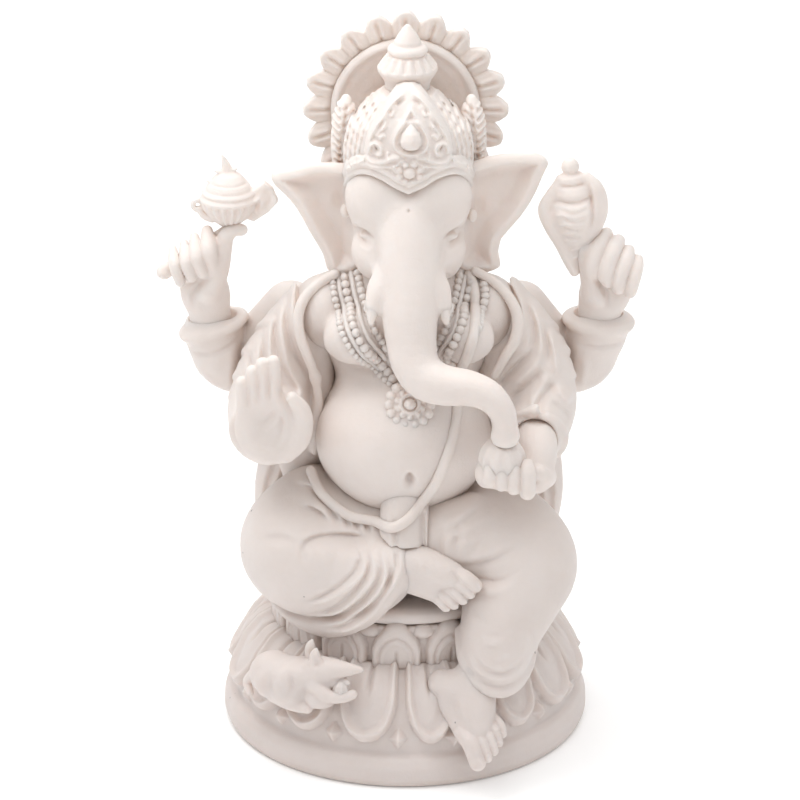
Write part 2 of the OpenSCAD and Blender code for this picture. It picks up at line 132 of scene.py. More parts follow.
def upright_hoop(at, across, tall, r, lean=0.0, count=18):
    """A closed ring of [x, y, z, r] points round a forward cuff."""
    x, y, z = at
    turns = [k * TURN / count for k in range(count + 1)]
    return [[x + across * math.cos(a), y + lean * math.sin(a), z + tall * math.sin(a), r] for a in turns]


def directions(count, start=0.0):
    """The cosine and sine of evenly spaced directions; start is in steps."""
    turns = [TURN * (k + start) / count for k in range(count)]
    return [(math.cos(a), math.sin(a)) for a in turns]


# ---------- forms: lists of (low corner, high corner, distance function) ----------


def turning(turn):
    """The matrix of turns about X, Y and Z, in degrees."""
    a, b, c = (math.radians(t) for t in turn)
    rx = np.array([[1, 0, 0], [0, math.cos(a), -math.sin(a)], [0, math.sin(a), math.cos(a)]])
    ry = np.array([[math.cos(b), 0, math.sin(b)], [0, 1, 0], [-math.sin(b), 0, math.cos(b)]])
    rz = np.array([[math.cos(c), -math.sin(c), 0], [math.sin(c), math.cos(c), 0], [0, 0, 1]])
    return rz @ ry @ rx


def local(x, y, z, at, m):
    """Grids as seen from a place with its own axes, the columns of m."""
    p = (x - at[0], y - at[1], z - at[2])
    return p if m is None else tuple(m[0, i] * p[0] + m[1, i] * p[1] + m[2, i] * p[2] for i in range(3))


def ball(at, radii, turn=None):
    at = np.array(at, float)
    r = np.broadcast_to(np.array(radii, float), 3)
    m = None if turn is None else turning(turn)
    reach = r if turn is None else np.full(3, r.max())

    def dist(x, y, z):
        p = local(x, y, z, at, m)
        q = np.sqrt(sum((p[i] / r[i]) ** 2 for i in range(3)))
        g = np.sqrt(sum((p[i] / r[i] ** 2) ** 2 for i in range(3)))
        return q * (q - 1) / (g + 1e-4)

    return [(at - reach, at + reach, dist)]


def link(a, b, flat=None):
    """One round link between two [x, y, z, radius] points.

    flat is a direction and how much thinner the link is that way."""
    a, b = np.array(a, float), np.array(b, float)
    span = b[:3] - a[:3]
    length2 = float(span @ span) + 1e-9
    if flat is not None:
        n = np.array(flat[0], float)
        n = n / np.linalg.norm(n)
        squeeze = flat[1] ** 2 - 1

    def dist(x, y, z):
        px, py, pz = x - a[0], y - a[1], z - a[2]
        t = np.clip((px * span[0] + py * span[1] + pz * span[2]) / length2, 0, 1)
        px, py, pz = px - t * span[0], py - t * span[1], pz - t * span[2]
        d2 = px * px + py * py + pz * pz
        if flat is not None:
            d2 = d2 + squeeze * (px * n[0] + py * n[1] + pz * n[2]) ** 2
        return np.sqrt(d2) - (a[3] + t * (b[3] - a[3]))

    r = max(a[3], b[3])
    return (np.minimum(a[:3], b[:3]) - r, np.maximum(a[:3], b[:3]) + r, dist)


def chain(p, flat=None):
    """Links from each [x, y, z, radius] point to the next."""
    return [link(a, b, flat) for a, b in zip(p, p[1:])]


def tube(points, count=None, flat=None):
    """A limb that follows a smooth line through [x, y, z, radius] points."""
    p = rows(points)
    return chain(curve(p, count or 5 * len(p)), flat)


def outline_distance(u, v, points):
    """Signed distance to a closed outline in a plane, negative inside."""
    p = rows(points)
    best = inside = None
    for i in range(len(p)):
        a, b = p[i - 1], p[i]
        e = b - a
        wu, wv = u - a[0], v - a[1]
        t = np.clip((wu * e[0] + wv * e[1]) / (e @ e + 1e-12), 0, 1)
        d2 = (wu - t * e[0]) ** 2 + (wv - t * e[1]) ** 2
        best = d2 if best is None else np.minimum(best, d2)
        if a[1] != b[1]:
            over = ((a[1] <= v) != (b[1] <= v)) & (u < a[0] + (v - a[1]) * (b[0] - a[0]) / (b[1] - a[1]))
            inside = over if inside is None else inside ^ over
    return np.sqrt(best) * np.where(inside, -1, 1)


def turned(profile, at, turn=None, ribs=0, rib_depth=0.0):
    """A solid of revolution about its own z, from [radius, height] points, with optional upright ribs."""
    at = np.array(at, float)
    m = None if turn is None else turning(turn)
    p = rows(profile)
    outline = np.vstack([p, p[::-1] * [-1, 1]])
    wide = p[:, 0].max()

    def dist(x, y, z):
        px, py, pz = local(x, y, z, at, m)
        r = np.sqrt(px * px + py * py)
        if ribs:
            r = r - rib_depth * np.cos(ribs * np.arctan2(py, px)) * np.clip(r / wide, 0, 1)
        return outline_distance(r, pz + 0 * r, outline)

    if turn is None:
        return [(at + [-wide, -wide, p[:, 1].min()], at + [wide, wide, p[:, 1].max()], dist)]
    reach = math.hypot(np.abs(p[:, 1]).max(), wide)
    return [(at - reach, at + reach, dist)]


def plate(outline, y0, y1):
    """A flat outline in x and z between two depths."""
    p = rows(outline)

    def dist(x, y, z):
        across = outline_distance(x + 0 * z, z + 0 * x, p)
        return np.maximum(across, np.abs(y - (y0 + y1) / 2) - (y1 - y0) / 2)

    margin = 6
    low = [p[:, 0].min(), y0 - margin, p[:, 1].min()]
    high = [p[:, 0].max(), y1 + margin, p[:, 1].max()]
    return [(np.array(low), np.array(high), dist)]


def soft_min(a, b, k):
    if k <= 0:
        return np.minimum(a, b)
    h = np.maximum(k - np.abs(a - b), 0) / k
    return np.minimum(a, b) - h * h * k / 4


def ramp(x, a, b):
    """A smooth rise from 0 at a to 1 at b."""
    t = np.clip((x - a) / (b - a), 0, 1)
    return t * t * (3 - 2 * t)


def bump(x, at, width):
    return np.exp(-(((x - at) / width) ** 2))


def cell_waves(size, seed):
    """A smooth random field over three coordinates, about -1 to 1, with lumps of about that size."""
    rng = np.random.RandomState(seed)
    ways = rng.normal(size=(9, 3)) / size
    phases = rng.uniform(0, TURN, 9)

    def wave(x, y, z):
        return sum(np.sin(x * a + y * b + z * c + phase) for (a, b, c), phase in zip(ways, phases)) / 4.5

    return wave


# ---------- the clay ----------


class Clay:
    """A block of cells, each holding the distance to one growing closed surface."""

    def __init__(self, low, high, cell):
        self.cell = cell * COARSE
        self.low = np.array(low, float)
        count = np.ceil((np.array(high, float) - self.low) / self.cell).astype(int) + 1
        self.axes = [(self.low[i] + self.cell * np.arange(count[i])).astype(np.float32) for i in range(3)]
        self.d = np.full(count, FAR, np.float32)

    def window(self, low, high):
        """The slices that cover a box, and their open grids."""
        cut = []
        for i in range(3):
            n = len(self.axes[i])
            a = int(np.clip(math.floor((low[i] - self.low[i]) / self.cell), 0, n))
            b = int(np.clip(math.ceil((high[i] - self.low[i]) / self.cell) + 1, 0, n))
            cut.append(slice(a, b))
        return tuple(cut), np.ix_(*(self.axes[i][cut[i]] for i in range(3)))

    def field(self, forms, pad):
        """The distance to the nearest of some forms, over the window that they need."""
        low = np.min([f[0] for f in forms], axis=0) - pad
        high = np.max([f[1] for f in forms], axis=0) + pad
        whole, _ = self.window(low, high)
        d = np.full([s.stop - s.start for s in whole], FAR, np.float32)
        for f in forms:
            part, grid = self.window(f[0] - pad, f[1] + pad)
            inner = tuple(slice(p.start - w.start, p.stop - w.start) for p, w in zip(part, whole))
            if d[inner].size:
                np.minimum(d[inner], f[2](*grid), out=d[inner])
        return whole, d

    def add(self, forms, blend=0.0):
        w, d = self.field(forms, blend + 3 * self.cell)
        self.d[w] = soft_min(self.d[w], d, blend)

    def cut(self, forms, blend=0.0):
        w, d = self.field(forms, blend + 3 * self.cell)
        self.d[w] = -soft_min(-self.d[w], d, blend)

    def limbs(self, paths):
        """Adds a tube for each (points, blend)."""
        for points, blend in paths:
            self.add(tube(points), blend)

    def keep(self, side):
        """Keeps what lies where side(x, y, z) is negative."""
        self.d = np.maximum(self.d, side(*np.ix_(*self.axes))).astype(np.float32)

    def press(self, lift):
        """Moves the surface out by lift(x, y, z)."""
        self.d -= lift(*np.ix_(*self.axes))

    def roughen(self, wave, height, zoom=1):
        self.press(lambda x, y, z: height * wave(zoom * x, zoom * y, zoom * z))

    def stroke(self, path, width, height, reach=ANY_DEPTH, fade=0.35, axis=1):
        """A soft ridge, or a groove if height is negative, pushed straight in along an axis.

        The path lies across that axis; fade is the share of its length over which each end dies away."""
        p = rows(path)
        p = curve(p, max(8, 6 * len(p)))
        u, v = [i for i in range(3) if i != axis]
        low, high = np.zeros(3), np.zeros(3)
        low[axis], high[axis] = reach
        for k, i in enumerate((u, v)):
            low[i], high[i] = p[:, k].min() - 3 * width, p[:, k].max() + 3 * width
        w, grid = self.window(low, high)
        if 0 in [s.stop - s.start for s in w]:
            return
        gu, gv = grid[u], grid[v]
        best = np.full(np.broadcast(gu, gv).shape, 1e6, np.float32)
        along = np.zeros_like(best)
        run = run_of(p)
        for i in range(len(p) - 1):
            e = p[i + 1] - p[i]
            t = np.clip(((gu - p[i, 0]) * e[0] + (gv - p[i, 1]) * e[1]) / (e @ e + 1e-9), 0, 1)
            d2 = (gu - p[i, 0] - t * e[0]) ** 2 + (gv - p[i, 1] - t * e[1]) ** 2
            near = d2 < best
            best = np.where(near, d2, best)
            along = np.where(near, run[i] + t * (run[i + 1] - run[i]), along)
        s = along / run[-1]
        strength = np.clip(np.minimum(s, 1 - s) / fade, 0, 1) if fade > 0 else 1.0
        self.d[w] -= (height * strength * np.exp(-best / width**2)).astype(np.float32)

    def carve(self, reach, fade, marks, thin=1.0, gain=1.0):
        """Draws a stroke for each (path, width, height)."""
        for path, width, height in marks:
            self.stroke(path, width * thin, gain * height, reach, fade)

    def face(self, points):
        """[x, y, z] where each [x, z] meets the clay from in front; points that miss it are left out."""
        out = []
        for x, z in rows(points):
            i, k = (int(np.clip(round((v - self.low[a]) / self.cell), 0, len(self.axes[a]) - 1))
                    for v, a in ((x, 0), (z, 2)))
            line = self.d[i, :, k]
            hits = np.nonzero(line < 0)[0]
            if len(hits):
                j = hits[0]
                t = line[j] / (line[j] - line[j - 1])
                out.append([x, float(self.axes[1][j] * (1 - t) + self.axes[1][j - 1] * t), z])
        return np.array(out)

    def mesh(self, name, relax=2):
        """The surface as quads, one vertex in each cell that it crosses."""
        d = self.d
        for i in range(3):
            edge = [slice(None)] * 3
            for end in (0, -1):
                edge[i] = end
                d[tuple(edge)] = np.maximum(d[tuple(edge)], 0.5 * self.cell)
        solid = d < 0
        corners = [(i, j, k) for i in (0, 1) for j in (0, 1) for k in (0, 1)]
        n = np.array(d.shape) - 1
        total = np.zeros(n, np.int8)
        for c in corners:
            total += solid[tuple(slice(c[i], c[i] + n[i]) for i in range(3))]
        live = np.argwhere((total > 0) & (total < 8))
        number = np.full(n, -1, np.int32)
        number[tuple(live.T)] = np.arange(len(live))
        value = np.stack([d[tuple((live + c).T)] for c in corners], axis=1)
        spot = np.zeros((len(live), 3))
        hits = np.zeros(len(live))
        for a, ca in enumerate(corners):
            for b, cb in enumerate(corners):
                if b <= a or sum(abs(ca[i] - cb[i]) for i in range(3)) != 1:
                    continue
                crossed = (value[:, a] < 0) != (value[:, b] < 0)
                t = np.where(crossed, value[:, a] / (value[:, a] - value[:, b] + 1e-12), 0)
                place = np.array(ca) + t[:, None] * (np.array(cb) - np.array(ca))
                spot += np.where(crossed[:, None], place, 0)
                hits += crossed
        co = self.low + self.cell * (live + spot / hits[:, None])
        quads = []
        for axis in range(3):
            u, v = (axis + 1) % 3, (axis + 2) % 3
            first, second = [slice(None)] * 3, [slice(None)] * 3
            first[axis], second[axis] = slice(0, -1), slice(1, None)
            a, b = solid[tuple(first)], solid[tuple(second)]
            for flip, change in ((False, a & ~b), (True, ~a & b)):
                at = np.argwhere(change)
                at = at[(at[:, u] > 0) & (at[:, v] > 0) & (at[:, u] < n[u]) & (at[:, v] < n[v])]
                ring = []
                for du, dv in ((-1, -1), (0, -1), (0, 0), (-1, 0)):
                    cell = at.copy()
                    cell[:, u] += du
                    cell[:, v] += dv
                    ring.append(number[tuple(cell.T)])
                quad = np.stack(ring, axis=1)
                quads.append(quad[:, ::-1] if flip else quad)
        quads = np.concatenate(quads)
        count = np.bincount(quads.ravel(), minlength=len(co))
        for _ in range(relax):
            centre = np.repeat(co[quads].mean(axis=1), 4, axis=0)
            shared = [np.bincount(quads.ravel(), centre[:, i], minlength=len(co)) for i in range(3)]
            shared = np.stack(shared, axis=1)
            co = 0.5 * co + 0.5 * shared / np.maximum(count, 1)[:, None]
        return new_mesh(name, co, quads)


def new_mesh(name, co, faces):
    """A smooth-shaded object from vertices in design millimetres and faces with the same number of sides."""
    faces = np.asarray(faces)
    me = bpy.data.meshes.new(name)
    me.vertices.add(len(co))
    me.vertices.foreach_set("co", (np.asarray(co) * UNIT).astype(np.float32).ravel())
    me.loops.add(faces.size)
    me.loops.foreach_set("vertex_index", faces.astype(np.int32).ravel())
    me.polygons.add(len(faces))
    me.polygons.foreach_set("loop_start", np.arange(0, faces.size, faces.shape[1], dtype=np.int32))
    me.update(calc_edges=True)
    me.validate()
    me.polygons.foreach_set("use_smooth", np.ones(len(faces), bool))
    ob = bpy.data.objects.new(name, me)
    bpy.context.scene.collection.objects.link(ob)
    return ob


# ---------- materials ----------


def node_material(name):
    mat = bpy.data.materials.new(name)
    mat.use_nodes = True
    return mat, mat.node_tree, mat.node_tree.nodes["Principled BSDF"]


def set_inputs(node, **values):
    """Sets a node's inputs; an underscore in a key stands for a space."""
    for key, value in values.items():
        node.inputs[key.replace("_", " ")].default_value = value


def link_up(tree, source, out, target, into):
    tree.links.new(source.outputs[out], target.inputs[into])


def fed(tree, kind, source, out, into, **values):
    """A new node fed by another one's output."""
    node = tree.nodes.new(kind)
    link_up(tree, source, out, node, into)
    set_inputs(node, **values)
    return node


def place_of(tree):
    return tree.nodes.new("ShaderNodeNewGeometry")


def texture(tree, kind, scale, **values):
    """A procedural texture over the frame's metres, scaled in cells per design millimetre."""
    return fed(tree, "ShaderNodeTex" + kind, place_of(tree), "Position", "Vector", Scale=scale / UNIT,
               **values)


def ramped(tree, source, out, *stops):
    """A colour ramp over another node's output, from (place, colour) stops; one number stands for a grey."""
    node = fed(tree, "ShaderNodeValToRGB", source, out, "Fac")
    elements = node.color_ramp.elements
    while len(elements) < len(stops):
        elements.new(0.5)
    for element, (place, colour) in zip(elements, stops):
        element.position = place
        element.color = (*(colour if isinstance(colour, tuple) else (colour,) * 3), 1)
    return node


def multiplied(tree, a, b, factor=None):
    """Two (node, output) colours multiplied, everywhere or by another output's share."""
    node = tree.nodes.new("ShaderNodeMix")
    node.data_type = "RGBA"
    node.blend_type = "MULTIPLY"
    node.inputs["Factor"].default_value = 1.0
    for pair, into in ((factor, "Factor"), (a, "A"), (b, "B")):
        if pair:
            link_up(tree, *pair, node, into)
    return node


def bumped(tree, source, out, height, under=None):
    node = fed(tree, "ShaderNodeBump", source, out, "Height", Strength=1.0, Distance=height * UNIT)
    if under is not None:
        link_up(tree, under, "Normal", node, "Normal")
    return node


def cast_marble():
    """Cast bonded marble: off-white, matt, with fine grain and a few pinholes, with painted warm shade in
    hollows and painted shade towards the bottom.
    """
    mat, tree, skin = node_material("cast_marble")
    set_inputs(skin, Specular_IOR_Level=0.42, Subsurface_Weight=0.45, Subsurface_Radius=(1.0, 0.85, 0.75),
               Subsurface_Scale=2.6 * UNIT)
    cloud = texture(tree, "Noise", 0.09, Detail=4.0, Roughness=0.55)
    tone = ramped(tree, cloud, "Fac", (0.3, (0.812, 0.738, 0.694)), (0.52, (0.842, 0.771, 0.729)),
                  (0.75, (0.864, 0.798, 0.759)))
    # painted shade: the colour is darkened and warmed in hollows and creases found by ambient occlusion,
    # standing in for the shade that falls there
    fold = tree.nodes.new("ShaderNodeAmbientOcclusion")
    fold.inputs["Distance"].default_value = 4.5 * UNIT
    fold.samples = 6
    painted_crevice_shade = ramped(tree, fold, "AO", (0, (0.90, 0.84, 0.79)), (0.5, (0.98, 0.962, 0.95)), (0.9, 1))
    # painted shade: the colour darkens towards the bottom, standing in for less light reaching the lower parts
    height = fed(tree, "ShaderNodeSeparateXYZ", place_of(tree), "Position", "Vector")
    climb = fed(tree, "ShaderNodeMapRange", height, "Z", "Value", From_Max=120 * UNIT)
    painted_low_shade = ramped(tree, climb, "Result", (0, (0.83, 0.815, 0.82)), (0.5, (0.91, 0.905, 0.905)), (0.95, 1))
    tone_and_painted_low_shade = multiplied(tree, (tone, "Color"), (painted_low_shade, "Color"))
    shade = multiplied(tree, (tone_and_painted_low_shade, "Result"), (painted_crevice_shade, "Color"))
    pit = ramped(tree, texture(tree, "Voronoi", 0.17), "Distance", (0, 0.25), (0.045, 0.4), (0.06, 1))
    where = ramped(tree, texture(tree, "Noise", 0.06, Detail=1.0), "Fac", (0.60, 0), (0.64, 1))
    holed = multiplied(tree, (shade, "Result"), (pit, "Color"), (where, "Color"))
    link_up(tree, holed, "Result", skin, "Base Color")
    grain = texture(tree, "Noise", 2.6, Detail=3.0, Roughness=0.6)
    worn = texture(tree, "Noise", 0.35, Detail=5.0, Roughness=0.6)
    rough = fed(tree, "ShaderNodeMapRange", worn, "Fac", "Value", To_Min=0.44, To_Max=0.66)
    link_up(tree, rough, "Result", skin, "Roughness")
    high = bumped(tree, grain, "Fac", 0.045, bumped(tree, worn, "Fac", 0.22))
    link_up(tree, high, "Normal", skin, "Normal")
    return mat


def noisy_material(name, scale, detail, roughness, dark, pale, height, **values):
    """A material with one noise for its tone and its bumps; also gives back its tree, skin and noise."""
    mat, tree, skin = node_material(name)
    noise = texture(tree, "Noise", scale, Detail=detail, Roughness=roughness)
    link_up(tree, ramped(tree, noise, "Fac", (0.3, dark), (0.7, pale)), "Color", skin, "Base Color")
    set_inputs(skin, **values)
    link_up(tree, bumped(tree, noise, "Fac", height), "Normal", skin, "Normal")
    return mat, tree, skin, noise


def steel():
    mat, tree, skin, drawn = noisy_material("steel_pin", 0.8, 5.0, 0.7, (0.48, 0.48, 0.49),
                                            (0.62, 0.62, 0.63), 0.03,
                                            Metallic=1.0)
    rough = fed(tree, "ShaderNodeMapRange", drawn, "Fac", "Value", To_Min=0.28, To_Max=0.45)
    link_up(tree, rough, "Result", skin, "Roughness")
    return mat


MARBLE, STEEL = cast_marble(), steel()
FELT = noisy_material("felt", 1.8, 6.0, 0.75, (0.56, 0.54, 0.51), (0.70, 0.68, 0.65), 0.25, Roughness=0.95,
                      Sheen_Weight=0.3)[0]


def marble_piece(ob, *nodes):
    """Gives a piece its material, its body and the nodes that it stands for."""
    ob.data.materials.append(MARBLE)
    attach(ob, BODY)
    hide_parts(*nodes)


def cast(clay, node, name=None, relax=2):
    marble_piece(clay.mesh("marble_" + (name or node), relax), node)


# ---------- relief rings: a turned profile with a raised pattern round it ----------


def relief_ring(name, profile, steps_of, columns, lift):
    """A closed turned mesh whose surface is pushed out by lift(angle, run, radius, height).

    profile runs from the axis underneath to the axis on top; steps_of has the number of steps on each edge.
    angle is in degrees, 0 straight ahead and positive to the viewer's right."""
    columns = int(columns / COARSE)
    path = []
    for a, b, steps in zip(rows(profile), rows(profile)[1:], steps_of):
        steps = max(1, int(steps / COARSE))
        path += [a + (b - a) * k / steps for k in range(steps)]
    path = np.array(path + [rows(profile)[-1]])
    for _ in range(3):
        path[1:-1] = 0.5 * path[1:-1] + 0.25 * (path[:-2] + path[2:])
    path[0, 0] = path[-1, 0] = 0
    run = run_of(path)
    tangent = np.gradient(path, axis=0)
    tangent /= np.linalg.norm(tangent, axis=1)[:, None] + 1e-9
    outward = np.stack([tangent[:, 1], -tangent[:, 0]], axis=1)
    ring = path[1:-1]
    angle = np.arange(columns) * 360 / columns - 180
    a, s = np.meshgrid(angle, run[1:-1])
    r, z = (np.broadcast_to(ring[:, i : i + 1], a.shape) for i in (0, 1))
    h = lift(a, s, r, z)
    r = r + h * outward[1:-1, :1]
    z = z + h * outward[1:-1, 1:]
    t = np.radians(a)
    co = np.stack([r * np.sin(t), -r * np.cos(t), z], axis=-1).reshape(-1, 3)
    co = np.vstack([co, [[0, 0, path[0, 1]], [0, 0, path[-1, 1]]]])
    i, j = np.meshgrid(np.arange(len(ring) - 1), np.arange(columns), indexing="ij")
    k = (j + 1) % columns
    q = np.stack([i * columns + j, i * columns + k, (i + 1) * columns + k, (i + 1) * columns + j], axis=-1)
    q = q.reshape(-1, 4)
    j, k = j[0], k[0]
    top = (len(ring) - 1) * columns
    ends = np.vstack([
        np.stack([np.full(columns, len(co) - 2), k, j], axis=1),
        np.stack([np.full(columns, len(co) - 1), top + j, top + k], axis=1),
    ])
    return new_mesh(name, co, np.vstack([q[:, [0, 1, 2]], q[:, [0, 2, 3]], ends]))


def turn_to(angle, at):
    """How far round from at, in degrees, between -180 and 180."""
    return (angle - at + 180) % 360 - 180


# ---------- plinth ----------

rim_r = box("plinth")[1][0]
rim_low = box("plinth")[0][2]
plinth_top = box("plinth")[1][2]
front_petals = [-56, -35.5, -13.3, 8.6, 24.3, 40.5, 61]
HIDDEN_PETALS = 11
hidden_arc = 360 + front_petals[0] - front_petals[-1]
petal_angles = front_petals + [
    front_petals[-1] + (i + 1) * hidden_arc / (HIDDEN_PETALS + 1) for i in range(HIDDEN_PETALS)]
next_petals = petal_angles[1:] + [petal_angles[0] + 360]
petal_gaps = [b - a for a, b in zip(petal_angles, next_petals)]
bud_angles = [(a + b) / 2 for a, b in zip(petal_angles, next_petals)]
hand_cut = cell_waves(7, 3)


def u_outline(half, low, bend, high):
    """Half-width, start, where the bend begins and the tip of a U-shaped petal, as a closed outline."""
    arc = [(-half * math.cos(t), bend + (high - bend) * math.sin(t)) for t in np.linspace(0.12, 1.45, 11)]
    side = [(-half, low), (-half, bend)] + arc
    return side + [(0, high)] + [(-x, y) for x, y in reversed(side)]


drooping = u_outline(5.5, -6, 7, 17)
drooping_field = u_outline(3.9, 0, 6.8, 14.3)


def plinth_lift(a, s, r, z):
    start = s[np.argmin(np.hypot(r[:, 0] - 27.4, z[:, 0] - plinth_top)), 0]
    down = start - s
    h = 0.10 * hand_cut(r * np.sin(np.radians(a)), r * np.cos(np.radians(a)), z) * (z > 2)
    on_slope = ramp(down, -0.6, 0.6) * (z > rim_low + 4.6)
    raised = np.zeros_like(a)
    for i, at in enumerate(petal_angles):
        near = np.abs(turn_to(a[0], at)) < 16
        half = min(6.4, 0.31 * min(petal_gaps[i], petal_gaps[i - 1]) + 0.35)
        u = turn_to(a[:, near], at) * 0.62 * 5.5 / half
        t = down[:, near]
        edge = -outline_distance(u, t, drooping)
        field = -outline_distance(u, t, drooping_field)
        part = 1.75 * np.sqrt(np.clip(1 - (1 - np.clip(edge, 0, 1)) ** 2, 0, 1))
        part -= 0.55 * ramp(field, -0.55, 0.35)
        part += 0.45 * bump(field, -1, 0.45)
        part += 0.3 * ramp(field, 0.9, 2.6)
        part -= 1 * np.exp(-((u / 0.5) ** 2)) * ramp(8.4 - t, 0, 3.4) * ramp(t, 0.2, 1.2)
        part -= 0.3 * bump(u, 0, 0.8) * bump(t, 14.6, 0.7)
        part += 0.55 * bump(t, 14.6, 2.2) * ramp(edge, 0, 1.2)
        raised[:, near] = np.maximum(raised[:, near], part * (edge > 0))
    for at in bud_angles:
        near = np.abs(turn_to(a[0], at)) < 6
        u = turn_to(a[:, near], at) * 0.63
        t = down[:, near] - 15.9
        part = 2.1 * np.clip(1 - np.abs(u) / 1.9 - np.abs(t) / 2.3, 0, 1) ** 0.8
        raised[:, near] = np.maximum(raised[:, near], part)
    return h + on_slope * raised


low_in = box("base_plug")[1][0] + 0.1
skirt_r = box("felt_pad")[1][0] + 0.25
plinth_profile = [
    (0, rim_low + 14.2), (26.1, rim_low + 14.2), (26.1, rim_low + 2.6), (low_in, rim_low + 2.6),
    (low_in, rim_low),
    (skirt_r, rim_low), (skirt_r, 0.2), (rim_r - 0.5, 0.2), (rim_r + 0.2, rim_low + 0.8),
    (rim_r + 0.1, rim_low + 3.6), (rim_r - 0.8, rim_low + 5.3),
    (rim_r - 2.3, rim_low + 6.1), (35.8, rim_low + 9), (34.7, rim_low + 13), (32.7, rim_low + 17),
    (30, rim_low + 20.2), (27.4, plinth_top), (0, plinth_top),
]
plinth_rows = [2, 5, 2, 2, 4, 3, 3, 6, 10, 6, 6, 10, 15, 17, 14, 9, 4]
plinth = relief_ring("marble_plinth", plinth_profile, plinth_rows, 760, plinth_lift)


# ---------- lotus drum and cushion slab ----------

drum_low, drum_high = box("lotus_seat")[0][2], box("lotus_seat")[1][2]
drum_r = box("lotus_seat")[1][0]
slab_r = box("seat_slab")[1][0]
slab_low, slab_high = box("seat_slab")[0][2], box("seat_slab")[1][2]
LOTUS_PETALS = 15
lotus_step = 360 / LOTUS_PETALS
mm_per_degree = 0.475
upright_petal = rows("-5.1 -2, -5.15 4.2, -4.3 6.4, -2.7 8.2, -1.1 9, 0 9.25, 1.1 9, 2.7 8.2, 4.3 6.4, "
                     "5.15 4.2, 5.1 -2")
inner_petal = upright_petal * (0.66, 0.72)
core_petal = upright_petal * (0.52, 0.56)


def drum_lift(a, s, r, z):
    up = z - drum_low
    side = (r > drum_r - 1.2) * 1
    raised = 0.4 * ramp(up, 6.6, 7.8) * (up < 9.2)
    for k in range(LOTUS_PETALS):
        u = turn_to(a, -4 + k * lotus_step) * mm_per_degree
        edge = -outline_distance(u, up, upright_petal)
        inner = -outline_distance(u, up, inner_petal)
        core = -outline_distance(u, up, core_petal)
        part = 1.7 * np.sqrt(np.clip(1 - (1 - np.clip(edge, 0, 0.9) / 0.9) ** 2, 0, 1))
        part -= 0.42 * bump(inner, -0.1, 0.32)
        part -= 0.2 * ramp(core, -0.15, 0.15)
        part -= 0.6 * np.exp(-((u / 0.3) ** 2)) * ramp(4.4 - up, 0, 1.6)
        part += 0.35 * bump(up, 3.2, 3)
        raised = np.maximum(raised, part * (edge > 0))
        v = turn_to(a, 8 + k * lotus_step) * mm_per_degree
        bud = 1.35 * np.sqrt(np.clip(1 - (v / 2.3) ** 2 - ((up - 7.5) / 1.35) ** 2, 0, 1))
        raised = np.maximum(raised, bud)
    return side * raised


drum_profile = [(0, drum_low - 0.2), (drum_r + 0.2, drum_low - 0.2), (drum_r, drum_low + 0.2),
                (drum_r - 0.3, drum_high),
                (0, drum_high)]
drum = relief_ring("marble_drum", drum_profile, [3, 1, 34, 3], 900, drum_lift)


def slab_lift(a, s, r, z):
    soft = cell_waves(9, 8)
    t = np.radians(a)
    return 0.16 * soft(r * np.sin(t), -r * np.cos(t), z) * (r > 4)


slab_profile = [(0, slab_low), (slab_r - 1.3, slab_low), (slab_r - 0.2, slab_low + 0.6),
                (slab_r + 0.25, slab_low + 1.6),
                (slab_r - 0.1, slab_low + 2.8), (slab_r - 1.4, slab_high), (0, slab_high)]
slab = relief_ring("marble_slab", slab_profile, [6, 4, 4, 4, 5, 40], 360, slab_lift)

marble_piece(plinth, "plinth", "plinth_petals", "plinth_leaves")
marble_piece(drum, "lotus_seat", "seat_petals")
marble_piece(slab, "seat_slab")


# ---------- body ----------

torso = Clay((-24, -31, 34.6), (24, 24, 108), 0.42)
torso.add(ball((-0.5, -6, 66), (18.3, 20, 16.6)))
torso.add(ball((0.5, 0, 86), (17.2, 14.2, 15)), 4)
torso.add(ball((0, 4, 46), (20.5, 16, 14)), 3)
torso.add(tube("-17 2 92 6, -8 1 95 6.6, 0 1 96 7, 8 1 95 6.6, 17 2 92 6"), 3.5)
torso.add(ball((0.6, 1, 100), (8, 8, 6)), 3)
torso.add(ball((-16.4, -1.6, 91.4), (6, 6.6, 7.8)) + ball((17, -1.6, 91.4), (6, 6.6, 7.8)), 2)
torso.add(ball((-10.6, -10.6, 89.4), (6.2, 5.8, 5.4)) + ball((12, -10.6, 89.4), (6.2, 5.8, 5.4)), 1.6)
torso.carve((-30, -6), 0.35, [
    ("-16 87, -14 84.6, -10 83.2, -5 83.6, -1 85", 0.9, -0.55),
    ("17.5 87, 15.5 84.6, 12 83.2, 7 83.6, 3 85", 0.9, -0.55),
    ("-17.6 61.6, -13.8 57.4, -8 54.6, -1 53.7, 5 54.2", 0.7, -0.6),
    ("-5.4 53.6, -6 51.6", 0.6, 0.5),
])
torso.cut(ball((0.8, -25.6, 64.2), (0.9, 1.6, 1.2)), 1)
torso.carve((-30, -10), 0.35, [
    ("0.8 66.4, 0.8 64.4", 0.45, -0.5),
    ("-0.9 63, 0.8 62.6, 2.5 63", 0.4, -0.3),
])
skin_wave = cell_waves(11, 21)
torso.roughen(skin_wave, 0.10)
cast(torso, "torso")

sash = Clay((-9, -31, 44), (9, -10, 66), 0.28)
sash.add(tube("-0.2 -13.5 64 4.8, -0.2 -19.8 59 4.8, -0.4 -23.2 53.8 4.9, -0.6 -25.2 49.8 4.8", None,
              ((0, 1, 0.5), 1.25)))
sash.keep(lambda x, y, z: 50.4 - 0.19 * x + 0.25 * np.sin(0.9 * x) - z)
sash.carve(ANY_DEPTH, 0.1, [
    ("4.3 58, 4.5 48.4", 0.45, 0.6),
    ("3.3 57, 3.5 48.6", 0.4, -0.35),
])
sash.carve(ANY_DEPTH, 0.35, [
    ("-2.6 57, -1.6 49", 0.5, -0.45),
    ("-3.6 57, -2.8 49", 0.6, 0.35),
])
cast(sash, "waist_sash", "sash")


# ---------- legs and feet ----------

